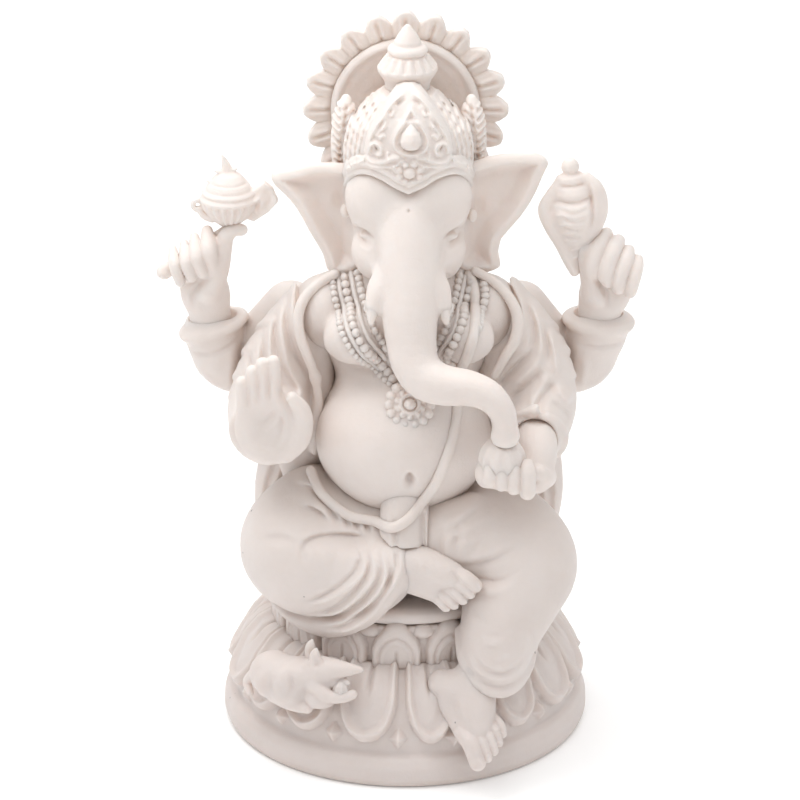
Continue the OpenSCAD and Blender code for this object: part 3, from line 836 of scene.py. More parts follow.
right_leg = Clay((-41, -38, 25), (10, 14, 64), 0.36)
right_leg.limbs([
    ("-13 2 45 11, -19 -6 44.6 12.3, -22 -12 43.5 12.5, -19 -16.5 42 11.8, -13 -19 40.7 10.5, "
     "-7.5 -23 41.9 8.5, -3 -26.3 44.8 6.1", 0),
    ("-1.7 -27.4 48.2 2.5, -2.8 -29.8 43.4 2.6, -6 -29.4 38 2.7, -10.8 -27 33.6 2.8, -16.6 -23 30.6 2.8, "
     "-23 -17 30.4 2.5, -28 -9 31.8 2", 1),
    ("-18 -8.6 49.4 9.8, -9 -14 48 8.8, -1 -16.8 48.6 8, 6 -16.4 48.2 7.8", 3),
])
right_leg.stroke("-20.8 45.8, -21 48.4, -20 49.8, -17.4 50.4, -13.4 50.3, -10 50.2, -6.6 51", 0.7, -1.25,
                 reach=(-40, -5), fade=0.25)
right_leg.stroke("-19 45.8, -18.2 47.3, -15.4 48, -12.6 48, -9.6 47.8", 2.4, 0.55, reach=(-40, -5))
right_leg.stroke("-30 48.8, -25.2 50, -21.6 49.6", 0.7, -0.55, reach=(-40, -2))
for path, height in [
    ("-9.6 49.6, -8.4 46.6, -11.6 42.5, -15.8 39.1, -20 37", 0.5),
    ("-7.2 50, -6.5 45.8, -9.5 41, -14 35.8, -19 32.9", 0.55),
    ("-4.9 50, -4.1 45.2, -7.6 39.4, -13 33.9, -19 31.2", 0.5),
    ("-2.8 50, -2.1 45.2, -5 39.4, -11 32.8, -17 30", 0.5),
    ("-0.9 50, -1.1 46.4, -3.4 42.2", 0.45),
]:
    right_leg.carve((-40, -3), 0.2, [
        (path, 0.55, 1.5 * height),
        (rows(path) + (-1, 0.6), 0.5, -0.75),
    ])
right_leg.stroke("-1 47.5, -3.6 41, -9.5 36.2, -17.5 32.6, -25.2 31.4, -30.5 33.4", 0.8, -0.7,
                 reach=(-40, 4), fade=0.2)
for path in ("-13.4 54.6, -11.4 51.6", "-11 54.4, -9.4 51.2", "-8.4 54.2, -7.4 51",
             "-16.4 55, -13 52", "-22 54.6, -18.6 54.2, -15.4 52.4", "-24 57.4, -19 57, -14 54.4",
             "-25 60, -19 59.6, -13.6 56.6"):
    right_leg.carve((-40, -5), 0.35, [
        (path, 0.6, -0.85),
        (rows(path) + (0.9, 0.7), 0.7, 0.6),
    ])
cloth_wave = cell_waves(9, 5)
right_leg.roughen(cloth_wave, 0.13)
cast(right_leg, "right_leg")


def toes(foot, radii, taper, blend, nail, nail_radii, joints):
    """Toes from the great one on, each through its root, knuckle and tip, with a nail set on the tip.

    nail is its shift: x in millimetres, y in radii, then z in radii (not used) and in millimetres."""
    for k, (root, knuckle, tip) in enumerate(rows(j) for j in joints):
        r = radii[0] if k == 0 else radii[1] - 0.05 * k
        foot.add(tube([[*at, r * share] for at, share in zip((root, knuckle, tip), taper)], 9), blend)
        shift = (nail[0], r * nail[1], nail[3])
        foot.add(ball(tip + shift, (r * nail_radii[0], nail_radii[1], r * nail_radii[2])), 0.08)


right_foot = Clay((-6, -37, 31), (20, -20, 55), 0.22)
right_foot.limbs([
    ("-3 -26.5 45.8 4, 2 -27.3 46 4.2, 6 -28.4 45.3 3.7, 9.4 -29.2 44.4 2.9", 0),
    ("0 -27 43.2 3.2, 4 -28 42 3, 6.6 -28.8 40.4 2.2", 1.5),
])
toes(right_foot, (1.6, 1.28), (1, 1, 0.95), 0.12, (0.35, -0.72, 0, -0.1), (0.6, 0.35, 0.55), [
    "9.4 -29.4 45.3, 12.2 -30.8 44.7, 14.2 -31 43", "8.6 -29.6 43.7, 11.4 -31.2 43.1, 13.2 -31.2 41.3",
    "7.6 -29.6 42.4, 10 -31.2 41.6, 11.7 -31.2 39.9", "6.4 -29.4 41.2, 8.4 -31 40.4, 9.9 -31 38.7",
    "5.2 -29.2 40.2, 6.9 -30.6 39.4, 8.2 -30.6 37.9"])
right_foot.stroke("9.2 46.4, 10.6 45, 11.6 44.2", 0.45, -0.35, reach=(-40, -24))
right_foot.stroke("1.5 50, 3 48.3, 3.6 46.2", 0.8, 0.3, reach=(-40, -20))
cast(right_foot, "right_foot", relax=1)

left_leg = Clay((-3, -41, 16), (41, 14, 64), 0.36)
left_leg.limbs([
    ("12 2 46 11.5, 19 -9 45 11.6, 24.3 -18.6 43 11.2, 23.4 -24 38.6 9.3, 21 -27.4 33 7.9, 19.6 -30 28 6.6, "
     "18.8 -31 24.2 6", 0),
    ("4 -16.8 48.8 7.6, 9.4 -19 48.2 8.8, 15 -18 46.6 10.2", 3),
    ("16.8 -26.6 37 5, 16.2 -28.4 32 4.9, 15.6 -30 27.2 4.6", 2.5),
    ("11.2 -27 30.6 1.2, 12.4 -32.4 25.8 1.2, 15 -35.6 22.8 1.2, 18.6 -36.2 21.2 1.2, 22.2 -34.4 21.6 1.2, "
     "25.2 -29.6 23.6 1.2, 26.4 -24 26.4 1.2", 1.6),
])
left_leg.cut(ball((15.6, -31.6, 17.4), (6.6, 7.6, 3.2)), 1)
left_leg.carve((-42, -4), 0.4, [
    ("12 30.8, 14 26.6, 18.4 24.6, 22.6 25.6, 26.4 29.4", 0.6, 0.55),
    ("11.8 29.2, 13.4 25, 18.2 22.8, 23 23.6, 26.6 27", 0.5, -0.45),
    ("13.4 31.6, 15.8 28, 19 27, 22.4 28, 25 30.4", 0.6, 0.5),
    ("13.6 30.4, 15.9 26.9, 19 25.8, 22.6 26.8, 25.4 29.6", 0.5, -0.35),
    ("17.6 30, 20.2 29.2, 23.4 29.8", 0.6, 0.45),
    ("15.4 32.4, 17 31.8, 20.4 32.4", 0.6, 0.45),
    ("15.4 31.5, 17 30.9, 20.4 31.5", 0.5, -0.25),
    ("11.8 43.6, 15.4 43, 19.4 43.8, 23.8 46.6", 0.55, -0.75),
    ("12 42.2, 15.6 41.6, 19.6 42.4, 23.6 44.6", 0.8, 0.45),
    ("7.6 47.4, 11.6 46, 15.6 46.6, 20.2 48.6, 24.4 51.4", 0.6, -0.6),
    ("7.4 49, 11.4 47.6, 15.6 48.4, 20 50.4, 24 53", 0.8, 0.45),
    ("12 47, 14.4 50, 17 52.4", 0.7, -0.55),
    ("10.8 48, 12 51.6, 13.8 54.4", 0.8, 0.4),
    ("9.4 47.4, 10.4 51.4, 11.4 54.4", 0.6, -0.5),
    ("8 46, 8.4 50, 9 54", 0.7, 0.35),
    ("6.6 46.6, 6.9 50, 7.2 53.6", 0.6, -0.4),
    ("6 50.6, 10 53.4, 15 55.6, 20 56.4", 0.7, -0.5),
    ("6.4 52.4, 10 55, 15 57.4, 20 58.4", 0.8, 0.4),
    ("6 49, 11 51.4, 16 53.2, 21 53.8", 0.7, -0.45),
    ("14.6 41.4, 17 40.4, 20 40.8", 0.6, -0.4),
    ("13.8 38.6, 15 36.4, 17.4 35.4", 0.6, -0.35),
    ("24.6 34.6, 26 31.6, 26.2 28.8", 0.6, -0.4),
    ("14.4 34.6, 17 33.4, 21 34", 0.55, -0.3),
], gain=0.85)
left_leg.roughen(cloth_wave, 0.13)
cast(left_leg, "left_leg")

left_foot = Clay((0, -46, 3), (26, -22, 32), 0.22)
left_foot.limbs([
    ("15.6 -31 25 4.4, 14.4 -32 21 4.5, 14.4 -35 17 4.2, 14.6 -37.4 13.6 3.6", 0),
    ("7.6 -31 20.6 3, 10 -31.8 20 3.6, 13 -33 18.4 3.6", 2),
    ("9 -33 17 2.4, 11.4 -36 14 2.4, 12.6 -38 12.2 2.2", 1.6),
])
toes(left_foot, (1.85, 1.16), (1.02, 1, 0.92), 0.1, (0.05, -0.7, 0, 0.5), (0.58, 0.4, 0.66), [
    "11.8 -38.4 13.2, 13.4 -41 11.8, 14.8 -42.2 8", "13.8 -38.2 13.4, 15.6 -40.8 12.3, 16.9 -41.6 8.9",
    "15.4 -37.6 14, 17.2 -40 12.8, 18.2 -40.6 9.9", "16.8 -36.8 14.6, 18.4 -38.8 13.6, 19.2 -39.2 11.1",
    "18 -36 15.4, 19.4 -37.4 14.6, 20 -37.8 12.5"])
left_foot.stroke("12.4 20.6, 11.4 18.4, 11.8 16", 1, 0.3, reach=(-46, -20))
cast(left_foot, "left_foot", relax=1)


# ---------- shawl and sleeves ----------

shawl = Clay((-27, -4, 32), (27, 25, 104), 0.5)
shawl.add(ball((0.5, 2, 86), (19.3, 14, 16.3)))
shawl.add(ball((0, 4, 66), (19.8, 14.8, 20)), 4)
shawl.add(ball((0, 5, 47), (22.3, 16.8, 14)), 4)
shawl.keep(lambda x, y, z: -1.5 - y)
shawl.keep(lambda x, y, z: 34.6 - z)
shawl.cut(ball((0, -10, 108), (14, 19, 15)))
shawl.add(tube("-21.4 3 37 2.1, -18 12 36.9 2.1, -10 17.6 36.9 2.1, 0 19.4 36.9 2.1, 10 17.6 36.9 2.1, "
               "18 12 36.9 2.1, 21.4 3 37 2.1", 40), 2.5)
for k in range(9):
    top, foot = -14 + 3.5 * k, -19.5 + 4.9 * k
    drift = 1.2 * math.sin(2.3 * k)
    path = [[top, 99], [top * 1.05 + drift, 84], [foot * 0.92 - drift, 64], [foot, 48], [foot * 1.02, 35.5]]
    shawl.carve((6, 25), 0.25, [
        (path, 0.9, 0.5),
        (rows(path) + (1.7, 0), 0.9, -0.45),
    ])
shawl.roughen(cloth_wave, 0.2)
cast(shawl, "shawl")

ends = Clay((-33, -1, 33.5), (35, 14, 80), 0.42)
for path in ("-22.5 7 70 6, -25 8 58 5.2, -28 9 48 4, -29 9 38 2.8",
             "23 7 72 6, 27 6 60 5.2, 29.5 7 48 4, 29.4 9 37 2.6"):
    ends.add(tube(path, None, ((0, 1, 0), 1.25)))
    for shift, height in [(-2.6, 0.5), (-1.3, -0.5), (0, 0.5), (1.4, -0.5), (2.7, 0.5)]:
        ends.stroke([[x + shift * r / 4.5, z] for x, _, z, r in rows(path)], 0.6, height, reach=(-5, 16),
                    fade=0.1)
ends.keep(lambda x, y, z: 34.8 - z)
cast(ends, "shawl_ends")

right_sleeve = Clay((-39, -24, 47), (-6, 13, 103), 0.36)
right_sleeve.limbs([
    ("-15 2 92 6.4, -20 0.6 89 7.3, -26.2 -1 81 7.4, -28.4 -3 73 8.2, -28.4 -8 70.6 8.3, -28 -14 71.2 7.9",
     0),
    ("-20.4 0 84 5.6, -20.6 -1.5 78 6, -20.6 -1.5 70 6, -20 0 62 5.2", 3),
    ("-23 4 76 6.6, -22.6 5 66 6.8, -21.4 3 58 5.8, -20.8 0 54 4.8", 3),
])
right_sleeve.add(tube(upright_hoop((-28, -16.8, 71.8), 7.2, 5.8, 0.95), 34), 1.4)
right_sleeve.cut(ball((-28, -19.6, 71.8), (6, 3.2, 4.8)), 0.5)
right_sleeve.carve((-12.5, 8), 0.22, [
    ("-16 99.6, -20.8 97.6, -21.6 94, -20.2 89, -17.4 84.6", 0.8, -0.6),
    ("-17 100, -22.4 97.4, -23.2 93.6, -21.8 88.6, -18.8 83", 0.8, 0.5),
    ("-23.6 96, -24.6 92, -23.9 88, -22.4 84, -19.6 78.6, -18 72", 0.7, -0.5),
    ("-24.6 95, -25.6 91, -25.2 87, -24 82, -21.4 76.6, -20 71", 0.7, 0.45),
    ("-26.4 92.4, -26.9 88, -26.2 83.6, -24.2 77.6", 0.6, -0.45),
    ("-27.6 91, -28 87, -27.6 82.6, -26 77", 0.6, 0.4),
    ("-29 88.6, -29.3 84.6, -28.6 79.6, -27.2 75", 0.6, -0.45),
    ("-30.2 86.4, -30.5 82.4, -29.8 78, -28.6 74", 0.6, 0.4),
    ("-31.8 84, -32 80, -31.4 76", 0.6, -0.4),
    ("-20.6 79, -19.6 75, -20.4 70, -22 66", 0.8, -0.5),
    ("-22.6 77, -22 73, -22.8 69", 0.8, 0.4),
], thin=0.9, gain=1.8)
for z0 in (88, 82, 76, 71):
    right_sleeve.stroke([[-6, z0 + 4], [0, z0], [5, z0 - 5]], 0.8, 0.4, axis=0, reach=(-40, -26))
    right_sleeve.stroke([[-5, z0 + 2], [1, z0 - 2], [6, z0 - 7]], 0.8, -0.4, axis=0, reach=(-40, -26))
right_sleeve.cut(ball((-13.4, -8.6, 92.4), (7.6, 9.6, 8.2)), 0.8)
right_sleeve.add(tube("-14.6 -2.4 100.2 1, -18 -4.4 98.8 1.05, -20.8 -6 96.2 1.15, -22 -7.6 92.6 1.2, "
                      "-21.4 -9 88.4 1.2, -19.8 -9.6 84.2 1.15, -18.5 -9 80 1", 34), 0.6)
right_sleeve.add(tube("-18.5 -9 80 1, -17.9 -8 74 0.95, -18.2 -7 68 0.8, -18.8 -6.4 62 0.7", 20), 1.5)
right_sleeve.roughen(cloth_wave, 0.12)
cast(right_sleeve, "right_sleeve")

left_sleeve = Clay((6, -26, 54), (39, 13, 104), 0.36)
left_sleeve.limbs([
    ("15 2 92.4 6.4, 20.4 0.6 89.6 7.3, 26.4 -1 81 7.7, 28 -4.6 74 7.6, 27.6 -10 71.2 6.9, 26.6 -15.6 70.4 6",
     0),
    ("21 0 84 5.6, 21 -1.5 78 6.2, 21.2 -1.5 70 6.2, 20.6 0 62 5.4", 3),
    ("24 5 77 7, 24.6 5.4 67 7.4, 24 5 60 5", 3),
    ("20.8 -17 75 1.1, 25 -18.6 76.6 1.15, 29.4 -18.2 74.8 1.2, 32.2 -16.6 71 1.2, 31.4 -15.6 66.6 1.2, "
     "27 -15.8 64.4 1.2, 22.4 -16.4 66.4 1.1, 20.2 -16.8 71 1.1, 20.8 -17 75 1.1", 0.8),
])
left_sleeve.cut(ball((26.4, -19.6, 70.4), (4.6, 3.6, 4.6)), 0.6)
left_sleeve.carve((-26, 8), 0.22, [
    ("17.4 99.8, 21 97, 22.8 93, 21.8 88.6, 18.6 84.6", 0.8, -0.6),
    ("18.6 100, 22.6 97, 24.2 92.8, 23.2 88, 20.4 83.4", 0.8, 0.5),
    ("24 94.8, 26 91.6, 26.6 88, 25.4 84.4", 0.7, -0.45),
    ("25.6 94, 27.4 90.6, 28 86.6, 27 82.6", 0.7, 0.4),
    ("28 90, 29.2 86.4, 29.4 82", 0.6, -0.4),
    ("29.6 88.4, 30.8 84.6, 31.2 80", 0.6, 0.4),
    ("26.6 85.4, 23.4 82.4, 20.6 79, 18.6 76", 0.75, -0.65),
    ("28 84, 24.8 80.8, 21.8 77.6", 0.8, 0.45),
    ("28.6 81.8, 26 79, 23.2 76.4, 20.8 74.4", 0.7, -0.5),
    ("30 80.8, 27.4 78.4, 24.8 76.4", 0.7, 0.4),
    ("31 79, 28.8 77.2, 26.2 75.2", 0.65, -0.45),
    ("31 78.6, 33 76.4, 34.6 75.2", 0.7, 0.4),
    ("29.6 76.6, 32 74.4, 34 72", 0.6, -0.35),
], thin=0.9, gain=1.8)
for z0 in (88, 82, 76):
    left_sleeve.stroke([[-6, z0 + 4], [0, z0], [5, z0 - 5]], 0.8, 0.4, axis=0, reach=(26, 40))
    left_sleeve.stroke([[-5, z0 + 2], [1, z0 - 2], [6, z0 - 7]], 0.8, -0.4, axis=0, reach=(26, 40))
left_sleeve.cut(ball((14.2, -8.6, 92.4), (7.8, 9.6, 8.2)), 0.8)
left_sleeve.add(tube("14.4 -2.2 100.8 1, 18.2 -4.2 99.2 1.05, 21.4 -6 96.2 1.15, 23 -7.6 92.4 1.2, "
                     "22.4 -9 88.2 1.2, 20.2 -9.6 84.4 1.15, 18.4 -9.4 80.6 1", 32), 0.5)
left_sleeve.roughen(cloth_wave, 0.12)
cast(left_sleeve, "left_sleeve")


def rear_sleeve(name, node, path, rim, hollow, folds):
    """A bag-like sleeve that rises from behind the shoulder to an open cuff."""
    low, high = box(node)
    clay = Clay(low - 3, high + 4, 0.4)
    clay.add(tube(path))
    clay.add(tube(rim, 28), 0.9)
    clay.cut(hollow, 0.5)
    for p, width, height in folds:
        clay.stroke(p, width, 1.6 * height, reach=(-12, 20), fade=0.3)
    clay.roughen(cloth_wave, 0.12)
    return marble_piece(clay.mesh(name), node)


rear_sleeve(
    "marble_right_rear_sleeve", "right_rear_sleeve",
    "-24 9 88 6, -30 9 80.6 6.2, -34.6 8.5 76 6.3, -37.8 7.6 78 6.3, -39.4 6.6 82 6.3, -40 6.2 84.4 6.2",
    hoop((-40, 6, 85.6), 6.2, 5.6, 17, 1.15), ball((-40.4, 6.2, 88.6), (5.2, 4.6, 4.2)),
    [("-46 80.8, -41 81.2, -36 83, -33.6 85", 0.6, -0.4), ("-34.6 84, -33.8 79, -33.6 74", 0.9, -0.5),
     ("-44.6 78, -41 74, -37 71.6", 1.2, 0.3), ("-36 82, -36.6 76, -37.6 72", 0.9, 0.3)],
)
rear_sleeve(
    "marble_left_rear_sleeve", "left_rear_sleeve",
    "24 9 88 6, 30 9 80 6.2, 34.2 8.5 75.8 6.1, 37.2 7.6 77.6 6.1, 39.2 6.6 82 6.3, 40.2 6.2 85 6.4",
    hoop((40.2, 6, 86.6), 6.5, 5.8, -4, 1.2), ball((40.3, 6.2, 89.6), (5.4, 4.8, 4.2)),
    [("34 83.4, 39 83, 44 83.2, 47 83.4", 0.6, -0.4), ("34.4 84, 34 79, 34.4 73", 0.9, -0.5),
     ("44.4 79, 42 74.4, 38 71", 1.2, 0.3), ("37.6 82, 37.4 77, 36.8 72", 0.9, 0.3)],
)


# ---------- head ----------

head = Clay((-16, -36, 70), (26, 14, 131), 0.32)
head.add(ball((HEAD_X, -1, 115.5), (12.3, 10.4, 12.3)))
for at, radii, blend in (((6, -5.5, 118.8), (6.7, 6.8, 7.8), 3), ((6.5, -5.4, 107.6), (5.2, 5.8, 7.2), 2.4)):
    head.add(sum((ball(mirrored(side, [at])[0], radii) for side in SIDES), []), blend)
head.add(ball((HEAD_X, -6, 102), (6, 5.6, 4.6)), 2)
for side in SIDES:
    head.add(tube(mirrored(side, "5.4 -8.4 109.4 3.4, 5.4 -9.8 105.8 2.8")), 2.2)
    head.stroke(mirrored(side, "4.9 104.2, 5.1 101.6, 5.7 98.8"), 0.5, -0.55, reach=(-30, -4), fade=0.3)


def eye_socket(x, y, z):
    out = np.abs(x - HEAD_X)
    return -1.5 * np.exp(-(((out - 9.2) / 2.3) ** 2) - ((z - 110.8) / 2.6) ** 2) * ramp(-y, 1, 5)


head.press(eye_socket)
trunk = ("0.7 -7.4 117.5 5.6, 0.7 -9.6 112 6.7, 0.8 -12.9 106.5 6, 0.9 -15.4 101.4 5.75, 0.9 -17.5 97 5.6, "
         "1.2 -19.4 92 5.1, 2 -21.4 88.2 4.8, 4.2 -23.4 85.8 4.6, 7.8 -25.7 85.2 4.15, 12.5 -28 85.6 3.65, "
         "16.6 -29.6 84.6 3.2, 19.2 -30.4 81.8 2.8, 20 -30.3 78.6 2.6, 20.1 -30.2 76.2 3")
TRUNK_STEPS = 60
head.add(tube(trunk, TRUNK_STEPS), 2)
for side in SIDES:
    head.add(tube(mirrored(side, "4.2 -12.6 105 2.4, 5.7 -14.9 101.8 2.7, 6.8 -16.6 98.9 2")), 1.6)
for side in SIDES:
    head.stroke(mirrored(side, "6.3 113.6, 6.5 110, 6.3 106.6, 5.8 105"), 0.9, -0.55, reach=(-30, -4),
                fade=0.4)
    head.stroke(mirrored(side, "12 114, 10.2 113.5, 8.4 113, 6.8 111.8"), 0.9, 0.6, reach=(-30, -2), fade=0.3)
    lid = head.face(mirrored(side, "8.5 110.9"))[0]
    head.add(ball(lid + [0, 0.35, 0], (1.75, 1, 0.85), (0, side * 12, side * 30)), 0.25)
    for path, width, height, fade in [
        ("10.8 112.2, 9.4 112.2, 8 111.8, 6.8 110.8", 0.34, -0.6, 0.25),
        ("10.4 110.4, 8.8 109.8, 7.3 110", 0.34, -0.5, 0.3),
        ("10.6 109.2, 8.8 108.7, 7.2 109", 0.5, 0.3, 0.3),
        ("8.9 111.2, 8.7 110.7", 0.3, -0.25, 0.2),
    ]:
        head.stroke(mirrored(side, path), width, height, reach=(-30, -2), fade=fade)
head.cut(ball((HEAD_X, -13.4, 118), (0.22, 0.75, 0.3)), 0.3)
head.stroke([[HEAD_X, 124], [HEAD_X, 118.5]], 2.2, -0.8, reach=(-30, -4), fade=0.4)
for k, (x, y, z, r) in enumerate(curve(trunk, TRUNK_STEPS)[16:48:2]):
    head.stroke([[x - 0.75 * r, z + 0.2 - 0.05 * k], [x, z - 0.25], [x + 0.75 * r, z + 0.2]], 0.32, -0.05,
                reach=(y - r - 2, y))
head.cut(ball((20.1, -30.6, 73.6), (2.2, 1.6, 1.4)), 0.3)
head_wave = cell_waves(8, 11)
head.roughen(head_wave, 0.07)
cast(head, "head")

tusks = Clay((-10.5, -21, 94), (11.7, -10, 105), 0.22)
for side in SIDES:
    tusks.add(tube(mirrored(side, "6.2 -15.2 102.2 1.5, 6.8 -16.6 99.6 1.5, 7.3 -17.6 97.6 1.2, "
                                  "7.6 -18.4 96.1 0.65")), 0.1)
    tusks.add(tube(upright_hoop((HEAD_X + side * 7, -17, 98.6), 1.9, 1.2, 0.32, 0.5), 24), 0.2)
cast(tusks, "tusks")


# ---------- ears ----------


def ear(node, outline, side, pit, lobe):
    """A broad ear, hollowed in front inside a rolled rim."""
    p = rows(outline)
    smooth_line = curve([*p[-1:], *p, *p[:1]], 90)[6:-6]

    def front(x, z):
        depth = -outline_distance(x + 0 * z, z + 0 * x, smooth_line)
        out = np.abs(x - HEAD_X) - 12
        lean = -1.4 + 0.13 * out
        return lean + 2.3 * ramp(depth, 0.9, 4.2) - 0.75 * bump(depth, 0.9, 0.8), depth, lean

    def dist(x, y, z):
        face, depth, lean = front(x, z)
        back = lean + 4.5 - 1.8 * ramp(depth, 2.5, 0)
        return np.maximum(np.maximum(face - y, y - back) * 0.85, -depth)

    low = np.array([p[:, 0].min(), -4, p[:, 1].min()])
    high = np.array([p[:, 0].max(), 8, p[:, 1].max()])
    clay = Clay(low - 1.5, high + 1.5, 0.3)
    clay.add([(low, high, dist)], 0)
    clay.add(chain([[x, -0.6 + 0.13 * (abs(x - HEAD_X) - 12), z, 0.75] for x, z in smooth_line[4:-4:3]]), 1)

    def hollow(x, y, z):
        return -0.8 * np.exp(-(((x - pit[0]) / 1.2) ** 2) - ((z - pit[2]) / 1.9) ** 2) * (y < 1.9)

    clay.press(hollow)
    clay.add(ball(lobe, (1, 1, 1.5)), 0.8)
    clay.carve(ANY_DEPTH, 0.35, [
        (mirrored(side, "14 120.4, 17 121, 21.5 120.4"), 1.4, -0.35),
        (mirrored(side, "15.4 117, 17.6 112, 16.6 107"), 1.6, 0.3),
        (mirrored(side, "19.6 118.4, 20.4 114.6"), 1.4, 0.22),
    ])
    cast(clay, node, relax=3)


ear("right_ear",
    "-9.4 121.8, -13 122.9, -17.6 122.9, -22.4 121.8, -27.3 120.2, -25 117.8, -22.6 115.2, -20.6 112, "
    "-19 108.8, -17 105.4, -15.7 102.4, -15.4 99.9, -13.4 100, -11 101, -9.2 104", -1, (-13.6, 0.6, 115.4),
    (-12.4, -1, 113.6))
ear("left_ear",
    "10.6 121.8, 14.4 123.5, 18 124.5, 22.6 124.8, 28.3 124.1, 27.4 120.8, 26 117.2, 23.8 113.2, 21 109.8, "
    "19 107.4, 18.3 104.8, 18.8 101.2, 16 100.4, 13 100.6, 10.4 104", 1, (14.9, 0.6, 114.2),
    (13.7, -1, 112.6))


# ---------- crown ----------

DOME = np.array([HEAD_X, 0, 126.3])
DOME_R = np.array([13.3, 11.6, 15.8])


def dome_front(x, z, out=0):
    """How far forward the dome's face lies, or a larger one's."""
    u = ((x - DOME[0]) / (DOME_R[0] + out)) ** 2 + ((z - DOME[2]) / (DOME_R[2] + out)) ** 2
    return -(DOME_R[1] + out) * np.sqrt(np.clip(1 - u, 0, 1))


leaf_half = rows("9 119.4, 9 129.4, 8.6 131.2, 8.2 133.2, 6.8 135.8, 5.2 138, 3.8 139.7, 2.3 140.9, "
                 "0.9 141.7")
leaf_shape = np.vstack([mirrored(1, leaf_half), mirrored(-1, leaf_half[::-1])])

dome = Clay((-16, -14, 118.5), (17, 13.6, 144.5), 0.25)
dome.add(ball(DOME, DOME_R))
dome.keep(lambda x, y, z: 119.4 - z)
dome.add(ball((HEAD_X, 1.2, 130.6), (10.6, 9.8, 7.8)), 1.5)


def narrowing(x, y, z):
    """The cone that the hair's dome is trimmed to below the finial."""
    return 0.7 * (np.sqrt((x - 0.4) ** 2 + (0.88 * (y - 1.6)) ** 2) + 1.1 * (z - 133.6) - 11.1)


dome.keep(narrowing)
dome.keep(lambda x, y, z: z - 138.6)
dome.add(tube(hoop((0.4, 3, 136), 6.4, 6.2, 0, 1.3, 20), 44), 0.4)
dome.keep(lambda x, y, z: y - 12.4)


def hair(x, y, z):
    """Locks combed up in arches that follow the tiara's outline."""
    up = z + 0.2 * (y + 10)
    d = outline_distance(x + 0 * up, up + 0 * x, leaf_shape)
    ridge = np.cos(TURN * (d - 0.3) / 0.95)
    fine_ = np.cos(TURN * (0.55 * np.abs(x - HEAD_X) - 0.9 * z) / 2.1)
    return (0.25 * ridge + 0.10 * fine_) * ramp(d, 0.3, 1) * ramp(139 - z, 0, 2.4)


dome.press(hair)
for c, s in directions(14, 0.5):
    dome.add([link((0.4 + 7.4 * c, 2.8 + 7.2 * s, 134.7, 0.9), (0.4 + 6.9 * c, 2.9 + 6.7 * s, 136.3, 0.9))],
             0.3)
cast(dome, "crown_dome", relax=1)

arch_low = rows("0 121.9, 2.6 123.1, 5.4 124.7, 8.4 125.3, 10.8 124.3, 12.2 121.8, 12.7 119.4")
arch_high = rows("0 125.4, 2.4 126.4, 5.2 127.7, 8 128.5, 10.6 128, 12.6 125.6, 13.6 122, 13.8 119.4")
tiara_outline = np.vstack([mirrored(side, line) for side, line in (
    (1, arch_high[:2:-1]), (1, leaf_half[1:]), (-1, leaf_half[:0:-1]), (-1, arch_high[3:]),
    (-1, arch_low[:0:-1]),
    (1, arch_low))])
tiara = Clay((-15.4, -16, 118), (16.6, 3, 143.4), 0.2)
tiara.add(ball(DOME, DOME_R + 0.85))
tiara.cut(ball(DOME, DOME_R - 1))
tiara.keep(plate(tiara_outline, -40, 40)[0][2])
tiara.keep(lambda x, y, z: y - 1.5)
for side in SIDES:
    for line, r, out in ((arch_low, 0.62, 0.75), (arch_low[:-1] + (0, 1.55), 0.56, 0.85)):
        roll = curve(mirrored(side, line), 26)
        tiara.add(chain([[x, dome_front(x, z, out), z, r] for x, z in roll]), 0.35)
    for path, width, height in [
        ("0.4 141, 2 140.3, 3.6 138.9, 5 137, 6.6 134.8, 7.8 132.4, 8.2 130.4", 0.42, 0.75),
        ("0.4 139.8, 1.8 139.2, 3.2 137.9, 4.5 136.2, 6 134.2, 6.9 132.2", 0.3, -0.45),
        ("1.2 129.2, 3.2 129, 5.4 128, 7.6 127.9, 9 129", 0.5, 0.8),
        ("2.4 127.4, 4.2 127.2, 6.2 127, 8.4 126.9", 0.32, 0.5),
        ("8 129, 7.9 130.6, 7 131.6, 5.9 131.3, 5.5 130.2, 6.2 129.4, 6.9 129.8", 0.4, 0.85),
        ("6.6 130.4, 6.4 130.5", 0.45, -0.6),
        ("3.6 137.4, 4.6 136.2, 5 134.6", 0.42, 0.7),
        ("4.8 135, 6 134, 6.6 132.6", 0.42, 0.7),
        ("2.2 138.8, 3 138.2, 3.5 136.8", 0.36, 0.65),
        ("4.7 133.4, 5.6 132.9, 5.9 132.2", 0.32, 0.55),
        ("1.5 125.9, 2.7 126.6, 2.9 127.9", 0.36, 0.6),
        ("0.6 128.4, 1.7 128.3, 2.5 127.4", 0.32, 0.55),
        ("3.8 128.6, 4.3 129.4, 4 130.2", 0.32, 0.55),
        ("10.4 126.8, 9.6 127.6, 8.8 127.7", 0.36, 0.45),
        ("11.9 125.8, 11.2 126.6, 10.4 127", 0.36, 0.45),
        ("12.8 124.2, 12.5 125, 11.9 125.6", 0.36, 0.45),
    ]:
        tiara.stroke(mirrored(side, path), width, height, fade=0.12)
frame_line = rows("0 138.5, -1.4 136.3, -2.9 134, -3.5 132.2, -2.6 130.5, 0 129.8, 2.6 130.5, 3.5 132.2, "
                  "2.9 134, 1.4 136.3, 0 138.5")
tiara.stroke([[HEAD_X + 0.5, 136.6], [HEAD_X + 0.5, 131.6]], 2.2, 0.7, fade=0.1)
tiara.stroke(frame_line + (HEAD_X + 0.5, 0), 0.45, 0.8, fade=0)
rose = (HEAD_X + 0.2, float(dome_front(HEAD_X, 125.8, 0.9)) - 0.2, 125.9)
tiara.add(ball(rose, (1.2, 0.8, 1.1)), 0.2)
